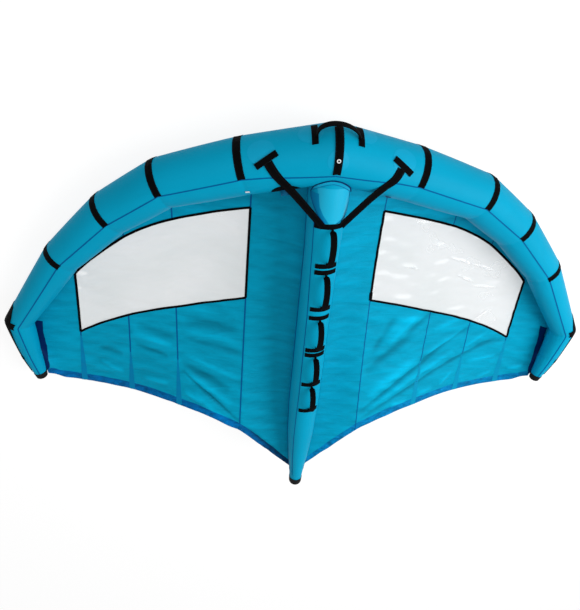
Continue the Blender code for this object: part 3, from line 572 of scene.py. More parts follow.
def webMaterial(name, look):
    material, make = newMaterial(name)
    uv = make.add("TexCoord", output="UV")
    weave = make.calc("MULTIPLY", make.bands(uv, look["pick"], "X"),
                      make.bands(uv, look["rib"], "Y"))
    colour = make.blend(weave, shaded(look["colour"], look["dark"]),
                        shaded(look["colour"], look["light"]))
    wear = make.ranged(make.noise(uv, look["wearScale"], 5.0), 0.55, 0.75, 0.0, 0.3)
    colour = make.blend(wear, colour, shaded(look["colour"], look["worn"]))
    along, across = [make.add("SeparateXYZ", {0: uv}, way) for way in (0, 1)]
    apart = make.calc("SUBTRACT", make.calc("ABSOLUTE", across), look["stitchAt"])
    inLine = make.calc("LESS_THAN", make.calc("ABSOLUTE", apart), look["stitchHalf"])
    dash = make.calc("FRACT", make.calc("DIVIDE", along, look["stitchStep"]))
    stitch = make.calc("MULTIPLY", inLine, make.calc("LESS_THAN", dash, look["stitchShare"]))
    colour = make.blend(stitch, colour, look["thread"])
    relief = make.bumps(make.calc("MULTIPLY_ADD", stitch, look["stitchRise"], weave),
                        look["bump"], look["bumpDepth"])
    make.shade(colour, look["roughness"], relief, look["specular"])
    return material


def filmMaterial(name, look):
    material, make = newMaterial(name)
    spot = make.add("TexCoord", output="Object")
    cloud = make.noise(spot, look["cloudScale"], 3.0)
    fold = make.add("Attribute", output="Fac", attribute_name="fold")
    # painted glints: where the attribute is high, the film turns white and more opaque
    glint = make.ranged(fold, 0.35, 0.7)
    colour = make.blend(cloud, look["colour"], look["tint"])
    colour = make.blend(glint, colour, (1.0, 1.0, 1.0, 1.0))
    haze = make.spread(cloud, 0.3, 0.7, look["alpha"], look["hazeSpread"])
    haze = make.calc("MULTIPLY_ADD", glint, look["glintAlpha"], haze, use_clamp=True)
    relief = make.bumps(make.noise(spot, look["fineScale"], 4.0), look["bump"],
                        look["bumpDepth"])
    make.shade(colour, look["roughness"], relief, look["specular"], Alpha=haze)
    return material


def mouldedMaterial(name, look):
    material, make = newMaterial(name)
    spot = make.add("TexCoord", output="Object")
    scuff = make.noise(spot, look["scuffScale"], 5.0)
    colour = make.blend(make.ranged(scuff, 0.5, 0.72, 0.0, 0.5), look["colour"],
                        shaded(look["colour"], look["scuff"]))
    relief = make.bumps(make.noise(spot, look["grain"], 6.0), look["bump"], look["bumpDepth"])
    rough = make.spread(scuff, 0.0, 1.0, look["roughness"], look["roughSpread"])
    make.shade(colour, rough, relief, look["specular"])
    return material


black = srgb(2, 2, 3)
canopyLook = {
    "colour": srgb(0, 156, 192), "patchScale": 2.5, "patch": 0.05, "ripstop": 0.006,
    "ripstopShow": 0.25, "crinkle": (4.0, 26.0, 1.0), "streak": 0.09, "bump": 1.0,
    "bumpDepth": 0.008, "roughness": 0.55, "specular": 0.045, "valley": 0.62, "ridge": 1.35,
    "patchRough": 0.55, "ripstopLight": 1.25, "ripstopRise": 0.02, "roughSpread": 0.06,
}
tubeLook = dict(canopyLook, colour=srgb(0, 158, 196), patch=0.04, ripstop=0.002,
                ripstopShow=0.12, crinkle=(3.0, 9.0, 1.0), streak=0.02, bump=0.35,
                bumpDepth=0.003, roughness=0.5, specular=0.055)
# The hem's strong crinkle swing is painted shade and painted reflections along its waves.
hemLook = dict(canopyLook, colour=srgb(0, 100, 164), streak=0.3, crinkle=(22.0, 40.0, 1.0),
               valley=0.3)
webLook = {"colour": black, "pick": 0.0024, "rib": 0.0016, "stitchAt": 0.0125,
           "stitchHalf": 0.0006, "stitchStep": 0.004, "stitchShare": 0.65, "stitchRise": 1.5,
           "thread": srgb(30, 30, 33), "dark": 0.6, "light": 1.5, "worn": 2.0,
           "wearScale": 40.0, "bump": 0.6, "bumpDepth": 0.0005, "roughness": 0.8,
           "specular": 0.045}


def trimCloth(name, colour, **changes):
    return clothMaterial(name, dict(tubeLook, colour=srgb(*colour), **changes))


canopyCloth = clothMaterial("canopyCloth", canopyLook)
rearCloth = clothMaterial("rearCloth", dict(canopyLook, crinkle=(5.0, 24.0, 1.0), streak=0.11))
tubeCloth = clothMaterial("tubeCloth", tubeLook)
# The hem and wedge cloths come as a darker left copy and a lighter right copy of one cloth:
# painted shade on the left, painted light on the right.
hemClothShadedAndLit = {-1: clothMaterial("hemCloth_l", hemLook),
            1: clothMaterial("hemCloth_r", dict(hemLook, colour=srgb(0, 122, 180)))}
patchCloth = trimCloth("patchCloth", (14, 162, 202), roughness=0.4)
wedgeClothShadedAndLit = {-1: trimCloth("wedgeCloth_l", (0, 130, 180)),
              1: trimCloth("wedgeCloth_r", (0, 145, 186))}
# A lighter, glossier copy of the tube cloth: painted highlight in the middle of the strut's
# front.
tongueCloth = trimCloth("tongueCloth", (14, 174, 212), roughness=0.35, specular=0.2)
tapeCloth = trimCloth("tapeCloth", (0, 92, 150))
navyCloth = trimCloth("navyCloth", (2, 40, 92))
whiteCloth = trimCloth("whiteCloth", (236, 240, 242))
webbing = webMaterial("webbing", webLook)
gripCover = webMaterial("gripCover", dict(webLook, stitchAt=0.011))
bandCloth = webMaterial("bandCloth", dict(webLook, pick=0.0012, rib=0.0012, stitchAt=0.014))
filmLook = {"colour": srgb(230, 233, 237), "tint": srgb(216, 226, 226), "alpha": 0.345,
            "roughness": 0.12, "specular": 0.6, "cloudScale": 2.2, "fineScale": 9.0,
            "hazeSpread": 0.06, "glintAlpha": 0.4, "bump": 0.25, "bumpDepth": 0.004}
film = filmMaterial("film", filmLook)
milkyFilm = filmMaterial("milkyFilm", dict(filmLook, colour=srgb(228, 226, 214), alpha=0.8,
                                           tint=srgb(214, 212, 196), roughness=0.3))
mouldLook = {"scuffScale": 45.0, "bump": 0.35, "bumpDepth": 0.0006, "roughSpread": 0.08}
moulded = {}
for name, colour, grain, scuff, roughness, specular in (
        ("capRubber", black, 500.0, 1.8, 0.7, 0.15),
        ("valvePlastic", srgb(4, 100, 142), 700.0, 1.4, 0.4, 0.1),
        ("whiteMetal", srgb(236, 236, 236), 600.0, 0.8, 0.3, 0.5)):
    moulded[name] = mouldedMaterial(name, dict(
        mouldLook, colour=colour, grain=grain, scuff=scuff, roughness=roughness,
        specular=specular))
print("materials made")


# Leading edge sleeves

sleeve = {"wall": 0.0018, "girth": 0.11, "bend": 2.0, "end": 7.0}


def tubeSleeve(name, start, end, nodes, steps):
    along = span(start, end)

    def skin(u, v, off):
        return tubeSkin(along(u), 2 * math.pi * v, off)

    def uv(u, v):
        return np.sign(along(u)) * lengthTo(along(u)), 2 * math.pi * v * sleeve["girth"]

    makePiece(name, skin, steps, -sleeve["wall"], uv, nodes, "tube_cloth", tubeCloth,
              closed=True, smoothAngle=50)


tubeSleeve("leadingSleeveMiddle", -sleeve["bend"], sleeve["bend"],
           ["le_sleeve_inner_l", "le_sleeve_inner_r"], (200, 96))
for side, letter in sides:
    tubeSleeve("leadingSleeveOuter_" + letter, sleeve["bend"] * side, sleeve["end"] * side,
               ["le_sleeve_outer_" + letter], (180, 84))
print("leading edge sleeves made")


# Sewn patches, tabs, bands, guards and caps on the tube, by station and angle

patches = {  # station, angle in degrees, radius; each lies under the webbing that pulls on it
    "barPatch_l": (-0.27, 25, 0.050), "barPatch_r": (0.29, 20, 0.050),
    "teePatch_l": (-0.76, 50, 0.054), "teePatch_r": (0.72, 56, 0.054),
    "eyeletPatch": (0.0, 86, 0.045),
}
tabs = {  # stations, angles in degrees and cloth of each sewn tab on the tube
    "seamTab_l": (-1.008, -0.96, 128, 133, whiteCloth),
    "seamTab_r": (0.70, 0.77, 144, 150, navyCloth),
    "bendTab_l": (-5.06, -4.94, 58, 83, bandCloth), "bendTab_r": (4.94, 5.06, 58, 83, bandCloth),
    "guardTab_l": (-6.12, -5.99, 30, 58, bandCloth),
    "guardTab_r": (5.95, 6.08, 30, 58, bandCloth),
}
patchWall = 0.0003
tab = {"lift": 0.0036, "wall": 0.001}


def roundPatch(name, station, degrees, radius):
    def skin(u, v, off):
        reach = radius * np.clip(v, 0.01, 1)
        at = station + reach * np.cos(2 * math.pi * u) / runs[0]
        angle = math.radians(degrees) + reach * np.sin(2 * math.pi * u) / wing["tubeRadius"]
        return tubeSkin(at, angle, patchWall + off)

    makePiece(name, skin, (64, 8), patchWall, (0.3, radius), [], "tube_cloth", patchCloth,
              closed=True)


def tubeTab(name, start, end, low, high, cloth):
    skin = strip(tubeSkin, span(start, end), lambda at: np.radians((low, high)), tab["lift"])
    makePiece(name, skin, (8, 16), tab["wall"], (0.03, 0.03), [], "wear_patch", cloth)


for name, values in patches.items():
    roundPatch(name, *values)
for name, values in tabs.items():
    tubeTab(name, *values)

band = {"width": 0.034, "angles": np.radians((-90, 97.5)), "lift": 0.0005, "wall": 0.0012}
guard = {  # rows: stations with the upper angles in degrees
    "from": math.radians(-60), "lift": 0.0018, "wall": 0.0014,
    "rows": np.array([(4.77, 32), (4.88, 52), (5, 66), (5.5, 54), (6, 50), (6.7, 48)])}
caps = {  # "flat" is the share of the steps before the dome
    "tip": {"length": 0.03, "dome": 0.012, "lift": 0.0006, "wall": 0.002, "flat": 0.62,
            "power": 0.8},
    "tail": {"length": 0.032, "dome": 0.03, "lift": 0.0006, "wall": 0.002, "flat": 0.5,
             "power": 1.0},
}


def seamBand(side, letter, station):
    def along(u):
        run = (u - 0.5) * band["width"]
        return side * (station + run / np.where(run < 0, runs[station - 1], runs[station]))

    makePiece(f"seamBand_{station}_{letter}",
              strip(tubeSkin, along, lambda at: band["angles"], band["lift"]), (10, 64),
              band["wall"], bandUv(np.ptp(band["angles"]) * radii[station], band["width"]),
              [f"seam_band_{station}_{letter}"], "wear_patch", bandCloth)


def tipGuard(side, letter):
    rows = guard["rows"]

    def edges(at):
        return guard["from"], np.radians(lookUp(rows, np.abs(at)))

    makePiece("tipGuard_" + letter,
              strip(tubeSkin, span(rows[0, 0] * side, rows[-1, 0] * side), edges, guard["lift"]),
              (90, 40), guard["wall"], (0.5, 0.1), ["tip_guard_" + letter], "wear_patch",
              bandCloth)


def endCap(name, cap, rimAt, middle, way, side, uv, node):
    def skin(u, v, off):
        back = cap["length"] * (1 - np.minimum(u / cap["flat"], 1))
        rim = rimAt(back, 2 * math.pi * v, cap["lift"] + off)
        over = np.clip((u - cap["flat"]) / (1 - cap["flat"]), 0, 1) * math.pi / 2
        points = middle + (rim - middle) * np.cos(over)[:, None] ** cap["power"]
        points = np.where((u > cap["flat"])[:, None], points, rim)
        points = points + way * ((cap["dome"] + off) * np.sin(over))[:, None]
        return points * (side, 1, 1)

    makePiece(name, skin, (26, 48), cap["wall"], uv, [node], "cap_rubber", moulded["capRubber"],
              closed=True, smoothAngle=60)


for side, letter in sides:
    for station in (1, 2, 3, 4):
        seamBand(side, letter, station)
    tipGuard(side, letter)
    endCap("tipCap_" + letter, caps["tip"],
           lambda back, angle, off: tubeSkin(7 - back / runs[6], angle, off),
           centres[7], legs[6], side, (0.05, 0.17), "tip_cap_" + letter)
print("patches, bands, guards and tip caps made")


# Strut

strutSeams = {  # places aft and angles in degrees of each seam, and its width
    "strutSeam_1": (((0.165, -66), (0.191, -64), (0.226, -50), (0.262, -35), (0.303, -10)),
                    0.006),
    "strutSeam_2": (((0.164, 60), (0.190, 72), (0.218, 75), (0.263, 65), (0.303, 26)), 0.005),
    "strutSeam_3": (((0.300, -43), (0.492, -39), (0.828, -31), (1.368, -29), (1.86, -37),
                     (2.02, -40)), 0.004),
    "strutSeam_4": (((0.17, -92), (0.5, -84), (1.2, -80), (2.0, -84)), 0.012),
    "strutSeam_5": (((0.17, 92), (0.5, 88), (1.2, 84), (2.0, 84)), 0.010),
}
strutSeam = {"lift": 0.0008, "wall": 0.0004}
tongues = {  # places aft, left and right angles of the painted shade and painted highlight laid on the strut behind the joint
    "tongueShade": ((0.165, -66, -36), (0.191, -64, -34), (0.226, -50, -30), (0.262, -35, -18),
                    (0.300, -12, 0)),
    "tongueLight": ((0.135, -43, 44), (0.168, -39, 60), (0.209, -36, 74), (0.258, -25, 66),
                    (0.285, -12, 44), (0.303, 0, 22)),
}
collar = {"topLift": 0.001, "footLift": 0.0012, "wall": 0.0005}
piping = {"probe": 0.01, "start": 0.75, "swell": 0.5,  # then radius and lift of each
          "jointPiping": (0.0028, 0.002), "collarEdge": (0.0011, 0.0016)}


def strutSleeve():
    def skin(u, v, off):
        angle = 2 * math.pi * v
        start = jointAft(angle)
        return strutSkin(start + (strutEnd - start) * u, angle, off)

    makePiece("strutSleeve", skin, (260, 84), -sleeve["wall"], (2, 0.54),
              ["strut_sleeve_front", "strut_sleeve_middle", "strut_sleeve_rear"], "tube_cloth",
              tubeCloth, closed=True, smoothAngle=50)


def tonguePiece(name, cloth):
    rows = np.array(tongues[name])

    def edges(aft):
        return [np.radians(lookUp(rows, aft, k)) for k in (1, 2)]

    makePiece(name, strip(strutSkin, span(rows[0, 0], rows[-1, 0]), edges, patchWall), (50, 30),
              patchWall, (0.17, 0.15), [], "tube_cloth", cloth)


def archLine(u, lift):
    ends = [strutSkin(aft, math.radians(angle), lift) for aft, angle in joint["ends"]]
    middle = [tubeSkin(station, math.radians(angle), lift) for station, angle in joint["arch"]]
    points = np.array([ends[0]] + middle + [ends[1]])
    steps = np.linalg.norm(np.diff(points, axis=0), axis=1)
    knots = np.concatenate([[0], np.cumsum(steps)]) / steps.sum()
    return curveWeights(knots, np.clip(u, 0, 1)) @ points


def archFoot(u, lift):
    low, high = joint["ends"][0][1], joint["ends"][1][1]
    angle = np.radians(low + (high - low) * u)
    return strutSkin(jointAft(angle) + joint["reach"], angle, lift)


def jointCollar():
    def skin(u, v, off):
        top, foot = archLine(u, collar["topLift"]), archFoot(u, collar["footLift"])
        return top + (foot - top) * v[:, None] + off[:, None] * joint["out"]

    makePiece("jointCollar", skin, (90, 8), collar["wall"], (0.25, 0.03), [], "tube_cloth",
              patchCloth)


def jointPiping(name, line, material):
    radius, lift = piping[name]
    probe = piping["probe"]

    def skin(u, v, off):
        way = unit(line(v + probe, lift) - line(v - probe, lift))
        across = unit(np.cross(way, joint["out"]))
        around = 2 * math.pi * u
        swell = radius * (piping["start"] + piping["swell"] * v) + off
        return (line(v, lift) + across * (swell * np.cos(around))[:, None]
                + np.cross(across, way) * (swell * np.sin(around))[:, None])

    piece = skinPiece(name, skin, (12, 160), 0, (0.02, 0.4), closed=True, smoothAngle=70)
    closeEnds(piece)
    finish(piece, "wing", [], material)


def seamStrip(name, surface, rows, radiusOf, width, mirrored, steps, lift, wall, uv):
    def edges(at):
        middle, half = np.radians(lookUp(rows, np.abs(at))), width / 2 / radiusOf(at)
        return middle - half, middle + half

    start = -rows[-1, 0] if mirrored else rows[0, 0]
    makePiece(name, strip(surface, span(start, rows[-1, 0]), edges, lift), steps, wall, uv, [],
              "tube_cloth", tapeCloth)


strutSleeve()
# painted shade on the strut's left front and a painted highlight in its middle
tonguePiece("tongueShade", wedgeClothShadedAndLit[-1])
tonguePiece("tongueLight", tongueCloth)
jointCollar()
jointPiping("jointPiping", archLine, navyCloth)
jointPiping("collarEdge", archFoot, tapeCloth)
for name, (path, width) in strutSeams.items():
    length = path[-1][0] - path[0][0]
    seamStrip(name, strutSkin, np.array(path), lambda aft: strutAt(aft)[1], width, False,
              (30 + int(length * 100), 4), strutSeam["lift"], strutSeam["wall"],
              (length, width))
endCap("strutTailCap", caps["tail"],
       lambda back, angle, off: strutSkin(strutEnd - back, angle, off),
       np.array((0, -strutEnd, strutRows[-1, 1])), np.array((0, -1, 0)), 1, (0.06, 0.2),
       "strut_tail_cap")
print("strut made")


# Canopy panels

panels = {  # stations, rows, steps across and along, node and slot
    "canopyInner": ((0.0, 0.907), (0.0, hemStart), (60, 240), "canopy_inner", "canopy_cloth"),
    "canopyFront": (windowSpan, (0.0, 0.146), (150, 40), "canopy_front", "canopy_cloth_light"),
    "canopyRear": (windowSpan, (0.439, hemStart), (150, 120), "canopy_rear",
                   "canopy_cloth_light"),
    "canopyTip": ((4.0, 6.6), (0.0, hemStart), (90, 110), "canopy_tip", "canopy_cloth"),
    "trailingHem": ((0.0, 6.6), (hemStart, 1.0), (260, 6), "trailing_hem", "hem_cloth"),
    "windowPanel": (windowSpan, windowRows, (150, 80), "window", "window_film"),
}
panel = {"wall": 0.0008, "leastSize": 0.03, "spare": 1.02}
sheetSizes = {}


def panelPiece(kind, side, letter):
    stations, rows, steps, node, slot = panels[kind]

    def skin(u, v, off):
        return clothSkin((span(*stations)(u) + 1e-6) * side, span(*rows)(v), off)

    cloth = {"window_film": film, "hem_cloth": hemClothShadedAndLit[side], "canopy_cloth": canopyCloth,
             "canopy_cloth_light": rearCloth}[slot]
    piece = skinPiece(f"{kind}_{letter}", skin, steps, panel["wall"],
                      lambda u, v: skin(u, v, 0 * u)[:, :2].T)
    paintFoldShading(piece)
    finish(piece, "wing", [f"{node}_{letter}"], cloth)
    area = sum(face.area for face in piece.data.polygons) / 2
    ends = skin(np.array([0, 1, 0.5, 0.5]), np.array([0.5, 0.5, 0, 1]), np.zeros(4))
    wide = max(np.linalg.norm(ends[1] - ends[0]), panel["leastSize"])
    long = max(np.linalg.norm(ends[3] - ends[2]), panel["leastSize"])
    if wide * long < area:
        long *= panel["spare"] * area / (wide * long)
    sheetSizes[piece.name] = (round(float(wide), 3), round(float(long), 3), round(area, 4))


for side, letter in sides:
    for kind in panels:
        panelPiece(kind, side, letter)
print("canopy made", sheetSizes)


# Tapes on the cloth, each along a path of stations and rows

tapes = {"probe": 0.02, "seam": (0.0011, 0.0004), "wedge": (0.0014, 0.0004),  # lift and wall
         "binding": (0.0014, 0.0012), "tab": (0.0018, 0.0012), "step": 0.0001}
tapeWidth = {"binding": 0.013, "tab": 0.019, "wedge": (0.006, 0.034), -1: 0.008, 1: 0.0055}


def clothTape(name, side, path, widths, steps, layer, nodes, slot, material):
    lines = [through(values) for values in list(zip(*path)) + [widths]]
    probe = tapes["probe"]
    lift, wall = layer

    def middle(u):
        return clothSkin(lines[0](u) * side, lines[1](u))

    def skin(u, v, off):
        station, row, width = [line(u) for line in lines]
        way = unit(middle(np.clip(u + 0.01, 0, 1)) - middle(np.clip(u - 0.01, 0, 1)))
        across = unit(np.cross((0, 0, 1.0), way))
        dx, dy = (across[:, :2] * ((v - 0.5) * width)[:, None]).T
        # the move across the tape, turned from metres to stations and rows
        a, c = ((clothSkin((station + probe) * side, row)
                 - clothSkin((station - probe) * side, row)) / (2 * probe))[:, :2].T
        b, d = ((clothSkin(station * side, row + probe / 2)
                 - clothSkin(station * side, row - probe / 2)) / probe)[:, :2].T
        det = a * d - b * c
        station = np.clip(station + (d * dx - b * dy) / det, 1e-6, lastStation)
        return clothSkin(station * side, np.clip(row + (a * dy - c * dx) / det, 0, 1),
                         lift + off)

    def uv(u, v):
        length = np.linalg.norm(middle(np.array([1.0])) - middle(np.array([0.0])))
        return u * length, (v - 0.5) * lines[2](u)

    makePiece(name, skin, (steps, 4), wall, uv, nodes, slot, material)


chordLines = (  # station, first and last row of each chordwise seam
    (0.907, 0.0, 0.146), (0.907, 0.439, 1.0), (4.0, 0.439, hemStart), (4.0, 0.0, 0.146),
    (2.0, 0.0, 0.146), (3.0, 0.0, 0.146), (2.0, 0.439, hemStart), (3.0, 0.439, hemStart))
wedgeLines = ((2.0, 0.8), (3.0, 0.78), (4.0, 0.5))  # station and first row of each wedge
tabRows = (0.405, 0.415, 0.425, 0.437)  # of the tab at the window's rear corner
# A navy strip of painted shadow lies on the cloth where each tip tube meets the canopy.
tipShadeStrip = {  # station and row of the strip's outer and inner edge, from front to rear
    -1: ((4.93, 0.07, 4.80, 0.150), (5.02, 0.12, 4.888, 0.203), (5.55, 0.16, 5.0, 0.348),
         (6.2, 0.20, 5.625, 0.516), (6.6, 0.45, 6.12, 0.90), (6.6, 0.97, 6.25, 0.98)),
    1: ((4.93, 0.07, 4.762, 0.142), (5.02, 0.11, 4.875, 0.192), (5.6, 0.15, 5.1, 0.3235),
        (6.3, 0.16, 5.75, 0.431), (6.6, 0.45, 6.2, 0.93), (6.6, 0.97, 6.38, 0.995)),
}
tipShadeStripLift = 0.0016


def windowBinding(side, letter):
    (s0, s1), (r0, r1) = windowSpan, windowRows
    corners = [(s0, r0), (s1, r0), (s1, r1), (s0, r1), (s0, r0)]
    lift, wall = tapes["binding"]
    for n, steps in enumerate((120, 60, 120, 60)):
        clothTape(f"windowBinding_{n + 1}_{letter}", side, corners[n:n + 2],
                  [tapeWidth["binding"]] * 2, steps, (lift + tapes["step"] * n, wall),
                  ["window_binding_" + letter] if n == 0 else [], "binding_tape", bandCloth)


def chordSeams(side, letter):
    for n, (station, first, last) in enumerate(chordLines, 1):
        clothTape(f"chordSeam_{n}_{letter}", side, [(station, first), (station, last)],
                  [tapeWidth[side]] * 2, 60, tapes["seam"], [], "canopy_cloth", tapeCloth)
    for n, (station, first) in enumerate(wedgeLines, 1):
        clothTape(f"seamWedge_{n}_{letter}", side, [(station, first), (station, 1.0)],
                  tapeWidth["wedge"], 50, tapes["wedge"], [], "hem_cloth", wedgeClothShadedAndLit[side])


# Painted shadow: a navy sheet along the tip tube's inner edge, where the canopy meets it.
def tipShadeStripPiece(side, letter):
    edges = [through(values) for values in zip(*tipShadeStrip[side])]

    def skin(u, v, off):
        outer, outRow, inner, inRow = [edge(u) for edge in edges]
        return clothSkin((outer + (inner - outer) * v) * side, outRow + (inRow - outRow) * v,
                         tipShadeStripLift + off)

    makePiece("tipShadeStrip_" + letter, skin, (80, 10), tapes["seam"][1], (0.4, 0.03), [],
              "canopy_cloth", navyCloth)


for side, letter in sides:
    windowBinding(side, letter)
    chordSeams(side, letter)
    tipShadeStripPiece(side, letter)
clothTape("windowTab", 1, [(windowSpan[0], row) for row in tabRows], [tapeWidth["tab"]] * 2,
          12, tapes["tab"], [], "binding_tape", bandCloth)
print("window tape and canopy seams made")


# Long seam of the tube, by station and angle

longSeam = {"width": 0.006, "lift": 0.0004, "wall": 0.0005,
            "rows": np.array([(0, 121), (0.35, 112), (0.75, 101), (1, 98), (2, 98), (3, 97),
                              (4, 94), (5, 100), (6, 100), (6.9, 100)])}
seamStrip("longSeam", tubeSkin, longSeam["rows"], radiusAt, longSeam["width"], True, (420, 3),
          longSeam["lift"], longSeam["wall"], (4, 0.006))


# Webbing straps, bars and grips

strap = {"lift": 0.001, "wall": 0.0024}
centreStrap = {"width": 0.033, "angles": np.radians((20, 115))}
frontBar = {"width": 0.026, "at": 0.088, "angles": np.radians((3, 52))}
frontGrip = {"angle": math.radians(38), "off": 0.0115, "lean": math.radians(-14),
             "up": math.radians(20), "height": 0.066, "roundness": 1.0}
vBase = {"aft": 0.155, "half": math.radians(46), "width": 0.026, "roll": math.radians(5),
         "clear": 0.0134}
handle = {"roll": math.radians(14), "lean": math.radians(-9), "width": 0.031,
          "thick": 0.008, "height": 0.058, "roundness": 0.8, "end": 0.0055,
          "endLength": 0.007, "barWidth": 0.024, "barHalf": math.radians(38),
          "rounding": 16, "flatter": 0.6, "clear": 0.0004, "turnSteps": 200,
          "pathSteps": 240, "endFlat": 0.8, "swellBy": 0.2, "fill": 0.7,
          "bars": (0.257, 0.2737, 0.378, 0.4039, 0.5029, 0.5185, 0.6166, 0.7088)}


def webStrip(name, surface, along, angles, radius, width, steps, node):
    makePiece(name, strip(surface, along, lambda at: angles, strap["lift"]), steps,
              strap["wall"], bandUv((angles[1] - angles[0]) * radius, width), [node],
              "webbing", webbing)


def strutBar(name, aft, half, width, roll, node):
    webStrip(name, strutSkin, span(aft - width / 2, aft + width / 2), (roll - half, roll + half),
             wing["strutRadius"], width, (6, 30), node)


def gripPath(run, height, roundness):
    turns = np.linspace(0, math.pi, handle["turnSteps"] + 1)
    pin = handle["endLength"]
    out = np.concatenate([[0], pin + run * (1 - np.cos(turns)) / 2, [run + 2 * pin]])
    rise = np.concatenate([[0], height * np.clip(np.sin(turns), 0, 1) ** roundness, [0]])
    steps = np.hypot(np.diff(out), np.diff(rise))
    gone = np.concatenate([[0], np.cumsum(steps)]) / steps.sum()
    at = np.linspace(0, 1, handle["pathSteps"] + 1)
    path = np.stack([np.interp(at, gone, out), np.interp(at, gone, rise)], -1)
    for _ in range(handle["rounding"]):
        path[1:-1] = (path[:-2] + path[2:]) / 2
    ways = np.gradient(path, axis=0)
    ways[0] = ways[-1] = (1, 0)
    return at, path, ways


def gripPiece(name, start, end, peak, height, roundness, node):
    start, end, peak = [np.asarray(a, float) for a in (start, end, peak)]
    axis, peak = unit(end - start), unit(peak)
    across = unit(np.cross(axis, peak))
    run = np.linalg.norm(end - start) - 2 * handle["endLength"]
    at, path, ways = gripPath(run, height, roundness)
    pinHalf, pinThick = handle["end"], handle["end"] * handle["endFlat"]

    def skin(u, v, off):
        out, rise, wayOut, wayRise = [np.interp(v, at, column) for column in
                                      (path[:, 0], path[:, 1], ways[:, 0], ways[:, 1])]
        point = start + out[:, None] * axis + rise[:, None] * peak
        way = unit(wayOut[:, None] * axis + wayRise[:, None] * peak)
        normal = np.cross(np.broadcast_to(across, way.shape), way)
        swell = np.clip(rise / (height * handle["swellBy"]), 0, 1)
        half = pinHalf + (handle["width"] / 2 - pinHalf) * swell + off
        thick = pinThick + (handle["thick"] / 2 - pinThick) * swell + off
        c, s = np.cos(2 * math.pi * u), np.sin(2 * math.pi * u)
        wide = np.sign(c) * np.abs(c) ** handle["flatter"] * half
        deep = np.sign(s) * np.abs(s) ** handle["flatter"] * thick
        return point + across * wide[:, None] + normal * deep[:, None]

    def uv(u, v):
        return v * 0.3, np.cos(2 * math.pi * u) * handle["width"] / 2

    piece = skinPiece(name, skin, (28, 110), 0, uv, closed=True, smoothAngle=60)
    closeEnds(piece)
    finish(piece, node, [node], gripCover)


def strutHandles():
    aft = np.array(handle["bars"]) * wing["rootChord"]
    for n, spot in enumerate(aft, 1):
        strutBar(f"strutBar_{n}", spot, handle["barHalf"], handle["barWidth"],
                 handle["roll"], f"strut_bar_{n}")
    base = vBase["aft"] * wing["rootChord"]
    strutBar("vStrapBase", base, vBase["half"], vBase["width"], vBase["roll"], "v_strap_base")
    clear = handle["barWidth"] / 2 + handle["clear"]
    ends = [(base + vBase["clear"], aft[0] - clear), (aft[1] + clear, aft[2] - clear),
            (aft[3] + clear, aft[4] - clear), (aft[5] + clear, aft[6] - clear),
            (aft[6] + clear, aft[7] - clear)]
    lean = handle["roll"] + handle["lean"]
    for n, places in enumerate(ends, 1):
        start, end = [strutSkin(spot, handle["roll"], handle["end"] + handle["clear"])
                      for spot in places]
        peak = np.array((math.sin(lean), 0, math.cos(lean)))
        axis = unit(end - start)
        gripPiece(f"strutGrip_{n}", start, end, peak - axis * (peak @ axis),
                  handle["height"], handle["roundness"], f"strut_grip_{n}")


half = centreStrap["width"] / 2 / centres[1, 0]
webStrip("centreStrap", tubeSkin, span(-half, half), centreStrap["angles"], wing["tubeRadius"],
         centreStrap["width"], (8, 60), "centre_strap")
station, half = stationAt(frontBar["at"]), frontBar["width"] / 2 / runs[0]
for side, letter in sides:
    webStrip("frontBar_" + letter, tubeSkin,
             span((station - half) * side, (station + half) * side), frontBar["angles"],
             wing["tubeRadius"], frontBar["width"], (8, 30), "front_bar_" + letter)
foot = tubeSkin(station, frontGrip["angle"], frontGrip["off"], puffed=False)
gripPiece("frontGrip", foot * (-1, 1, 1), foot,
          (math.tan(frontGrip["lean"]), math.cos(frontGrip["up"]), math.sin(frontGrip["up"])),
          frontGrip["height"], frontGrip["roundness"], "front_grip")
strutHandles()
print("straps and grips made")


# V straps, pulled straight between tube and strut like a string

vee = {"at": 0.272, "angle": math.radians(67), "skew": math.radians(27), "length": 0.101,
       "barWidth": 0.027, "barLift": 0.0012, "width": 0.040, "narrow": 0.031, "past": 0.002,
       "land": math.radians(28), "steps": 60, "wall": 0.0024, "lift": 0.001,
       "landClear": 0.0004, "slack": 0.0005,
       "drift": {-1: 0.026, 1: 0.010}, "driftAt": {-1: 0.09, 1: 0.15}}


def heightOverTube(point):
    station = stationAt(max(point[0], 0.0))
    for _ in range(5):
        k = min(int(station), 6)
        centre = centres[k] + (centres[k + 1] - centres[k]) * (station - k)
        front = tubeSkin(station, 0.0) - centre
        up = tubeSkin(station, math.pi / 2) - centre
        away = point - centre
        normal = unit(np.cross(front, up))
        station = max(station + float(away @ normal) / runs[k], 0)
    a, b = away @ front / np.linalg.norm(front), away @ up / np.linalg.norm(up)
    angle = math.atan2(b, a)
    skin = tubeSkin(station, angle)
    return station, angle, math.hypot(a, b) - np.linalg.norm(skin - centre)


def liftedOff(point, slack=0.0):
    at, angle, height = heightOverTube(point)
    return tubeSkin(at, angle, vee["lift"]) if height < vee["lift"] + slack else point


def pullTight(points, rounds):
    for _ in range(rounds):
        for n in range(1, len(points) - 1):
            points[n] = liftedOff((points[n - 1] + points[n + 1]) / 2)


def strapWays(points):
    outs = []
    laid = 0
    last = len(points) - 1
    for n, point in enumerate(points):
        at, angle, height = heightOverTube(point)
        outs.append(tubeOut(at, angle))
        if height < vee["lift"] + vee["slack"]:
            laid = n
    for n in range(laid + 1, last + 1):
        share = (n - laid) / (last - laid)
        outs[n] = unit(outs[laid] * (1 - share) + np.array((0, 0, 1.0)) * share)
    outs = np.array(outs)
    ways = unit(np.gradient(np.array(points), axis=0))
    outs = unit(outs - ways * (outs * ways).sum(1)[:, None])
    return outs, np.cross(ways, outs)


